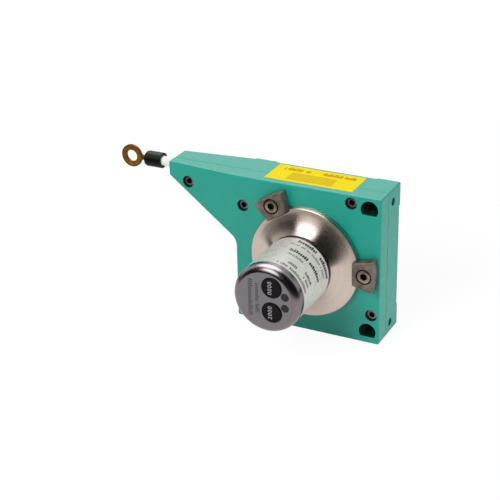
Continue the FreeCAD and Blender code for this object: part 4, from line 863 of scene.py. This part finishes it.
# The floor is partly a white glow, so that it is white in the picture but for a faint shadow.
FLOOR_REACH = 6.0
FLOOR_DROP = 0.2 * MM
FLOOR_COLOUR = (0.82, 0.82, 0.82, 1)
SEEN_GLOW = 0.86
NEAR_GLOW, FAR_GLOW, FAR_FROM, FAR_AT = 1.06, 0.14, 0.15, 0.7

# What reflects in the object: the share of glow, more of it but weaker beyond a distance, and
# weaker right under the object, which is a painted shadow of the object that only reflections see.
GLOSS_GLOW, BEYOND_GLOW, BEYOND_LOSS, BEYOND_FROM, BEYOND_AT = 0.8, 0.19, 0.9, 0.2, 0.36
PAINTED_SHADOW_LOSS, PAINTED_SHADOW_AT, PAINTED_SHADOW_FROM = 0.4, 0.048, 0.062

ground = CAD_BOX[0][2] - FLOOR_DROP
corners = ((-1, -1), (1, -1), (1, 1), (-1, 1))
floor_mesh = bpy.data.meshes.new("floor")
floor_mesh.from_pydata(
    [(x * FLOOR_REACH, y * FLOOR_REACH, ground) for x, y in corners], [], [(0, 1, 2, 3)]
)
floor = bpy.data.objects.new("floor", floor_mesh)
bpy.context.scene.collection.objects.link(floor)
floor_material = bpy.data.materials.new("floor")
floor_material.use_nodes = True
floor_material.node_tree.nodes.clear()
tree = Graph(floor_material.node_tree)
rays = tree.add("ShaderNodeLightPath").outputs
place = tree.add("ShaderNodeNewGeometry").outputs["Position"]
length = tree.add("ShaderNodeVectorMath", {0: place}, operation="LENGTH").outputs["Value"]


def glossy(mask, share):
    """A mask that only reflections see."""
    return tree.math("MULTIPLY", tree.math("MULTIPLY", mask, rays["Is Glossy Ray"]), share)


far = tree.math("MULTIPLY", tree.smooth(length, FAR_FROM, FAR_AT), FAR_GLOW)
beyond = tree.smooth(length, BEYOND_FROM, BEYOND_AT)
# Painted shadow: under the object the floor's glow is dimmed for reflections.
under = tree.math("SUBTRACT", 1.0, tree.smooth(length, PAINTED_SHADOW_AT, PAINTED_SHADOW_FROM))
strength = tree.math("ADD", far, NEAR_GLOW)
for loss in (glossy(beyond, BEYOND_LOSS), glossy(under, PAINTED_SHADOW_LOSS)):
    strength = tree.math("MULTIPLY", strength, tree.math("SUBTRACT", 1.0, loss))
gloss = tree.math("ADD", glossy(1.0, GLOSS_GLOW), glossy(beyond, BEYOND_GLOW))
seen = tree.math("MULTIPLY", rays["Is Camera Ray"], SEEN_GLOW)
matt = tree.add("ShaderNodeBsdfDiffuse", {"Color": FLOOR_COLOUR})
glow = tree.add("ShaderNodeEmission", {"Strength": strength})
inputs = {0: tree.math("MAXIMUM", seen, gloss), 1: matt.outputs[0], 2: glow.outputs[0]}
mix = tree.add("ShaderNodeMixShader", inputs)
tree.add("ShaderNodeOutputMaterial", {0: mix.outputs[0]})
floor_mesh.materials.append(floor_material)

bpy.context.scene.view_settings.view_transform = "Standard"
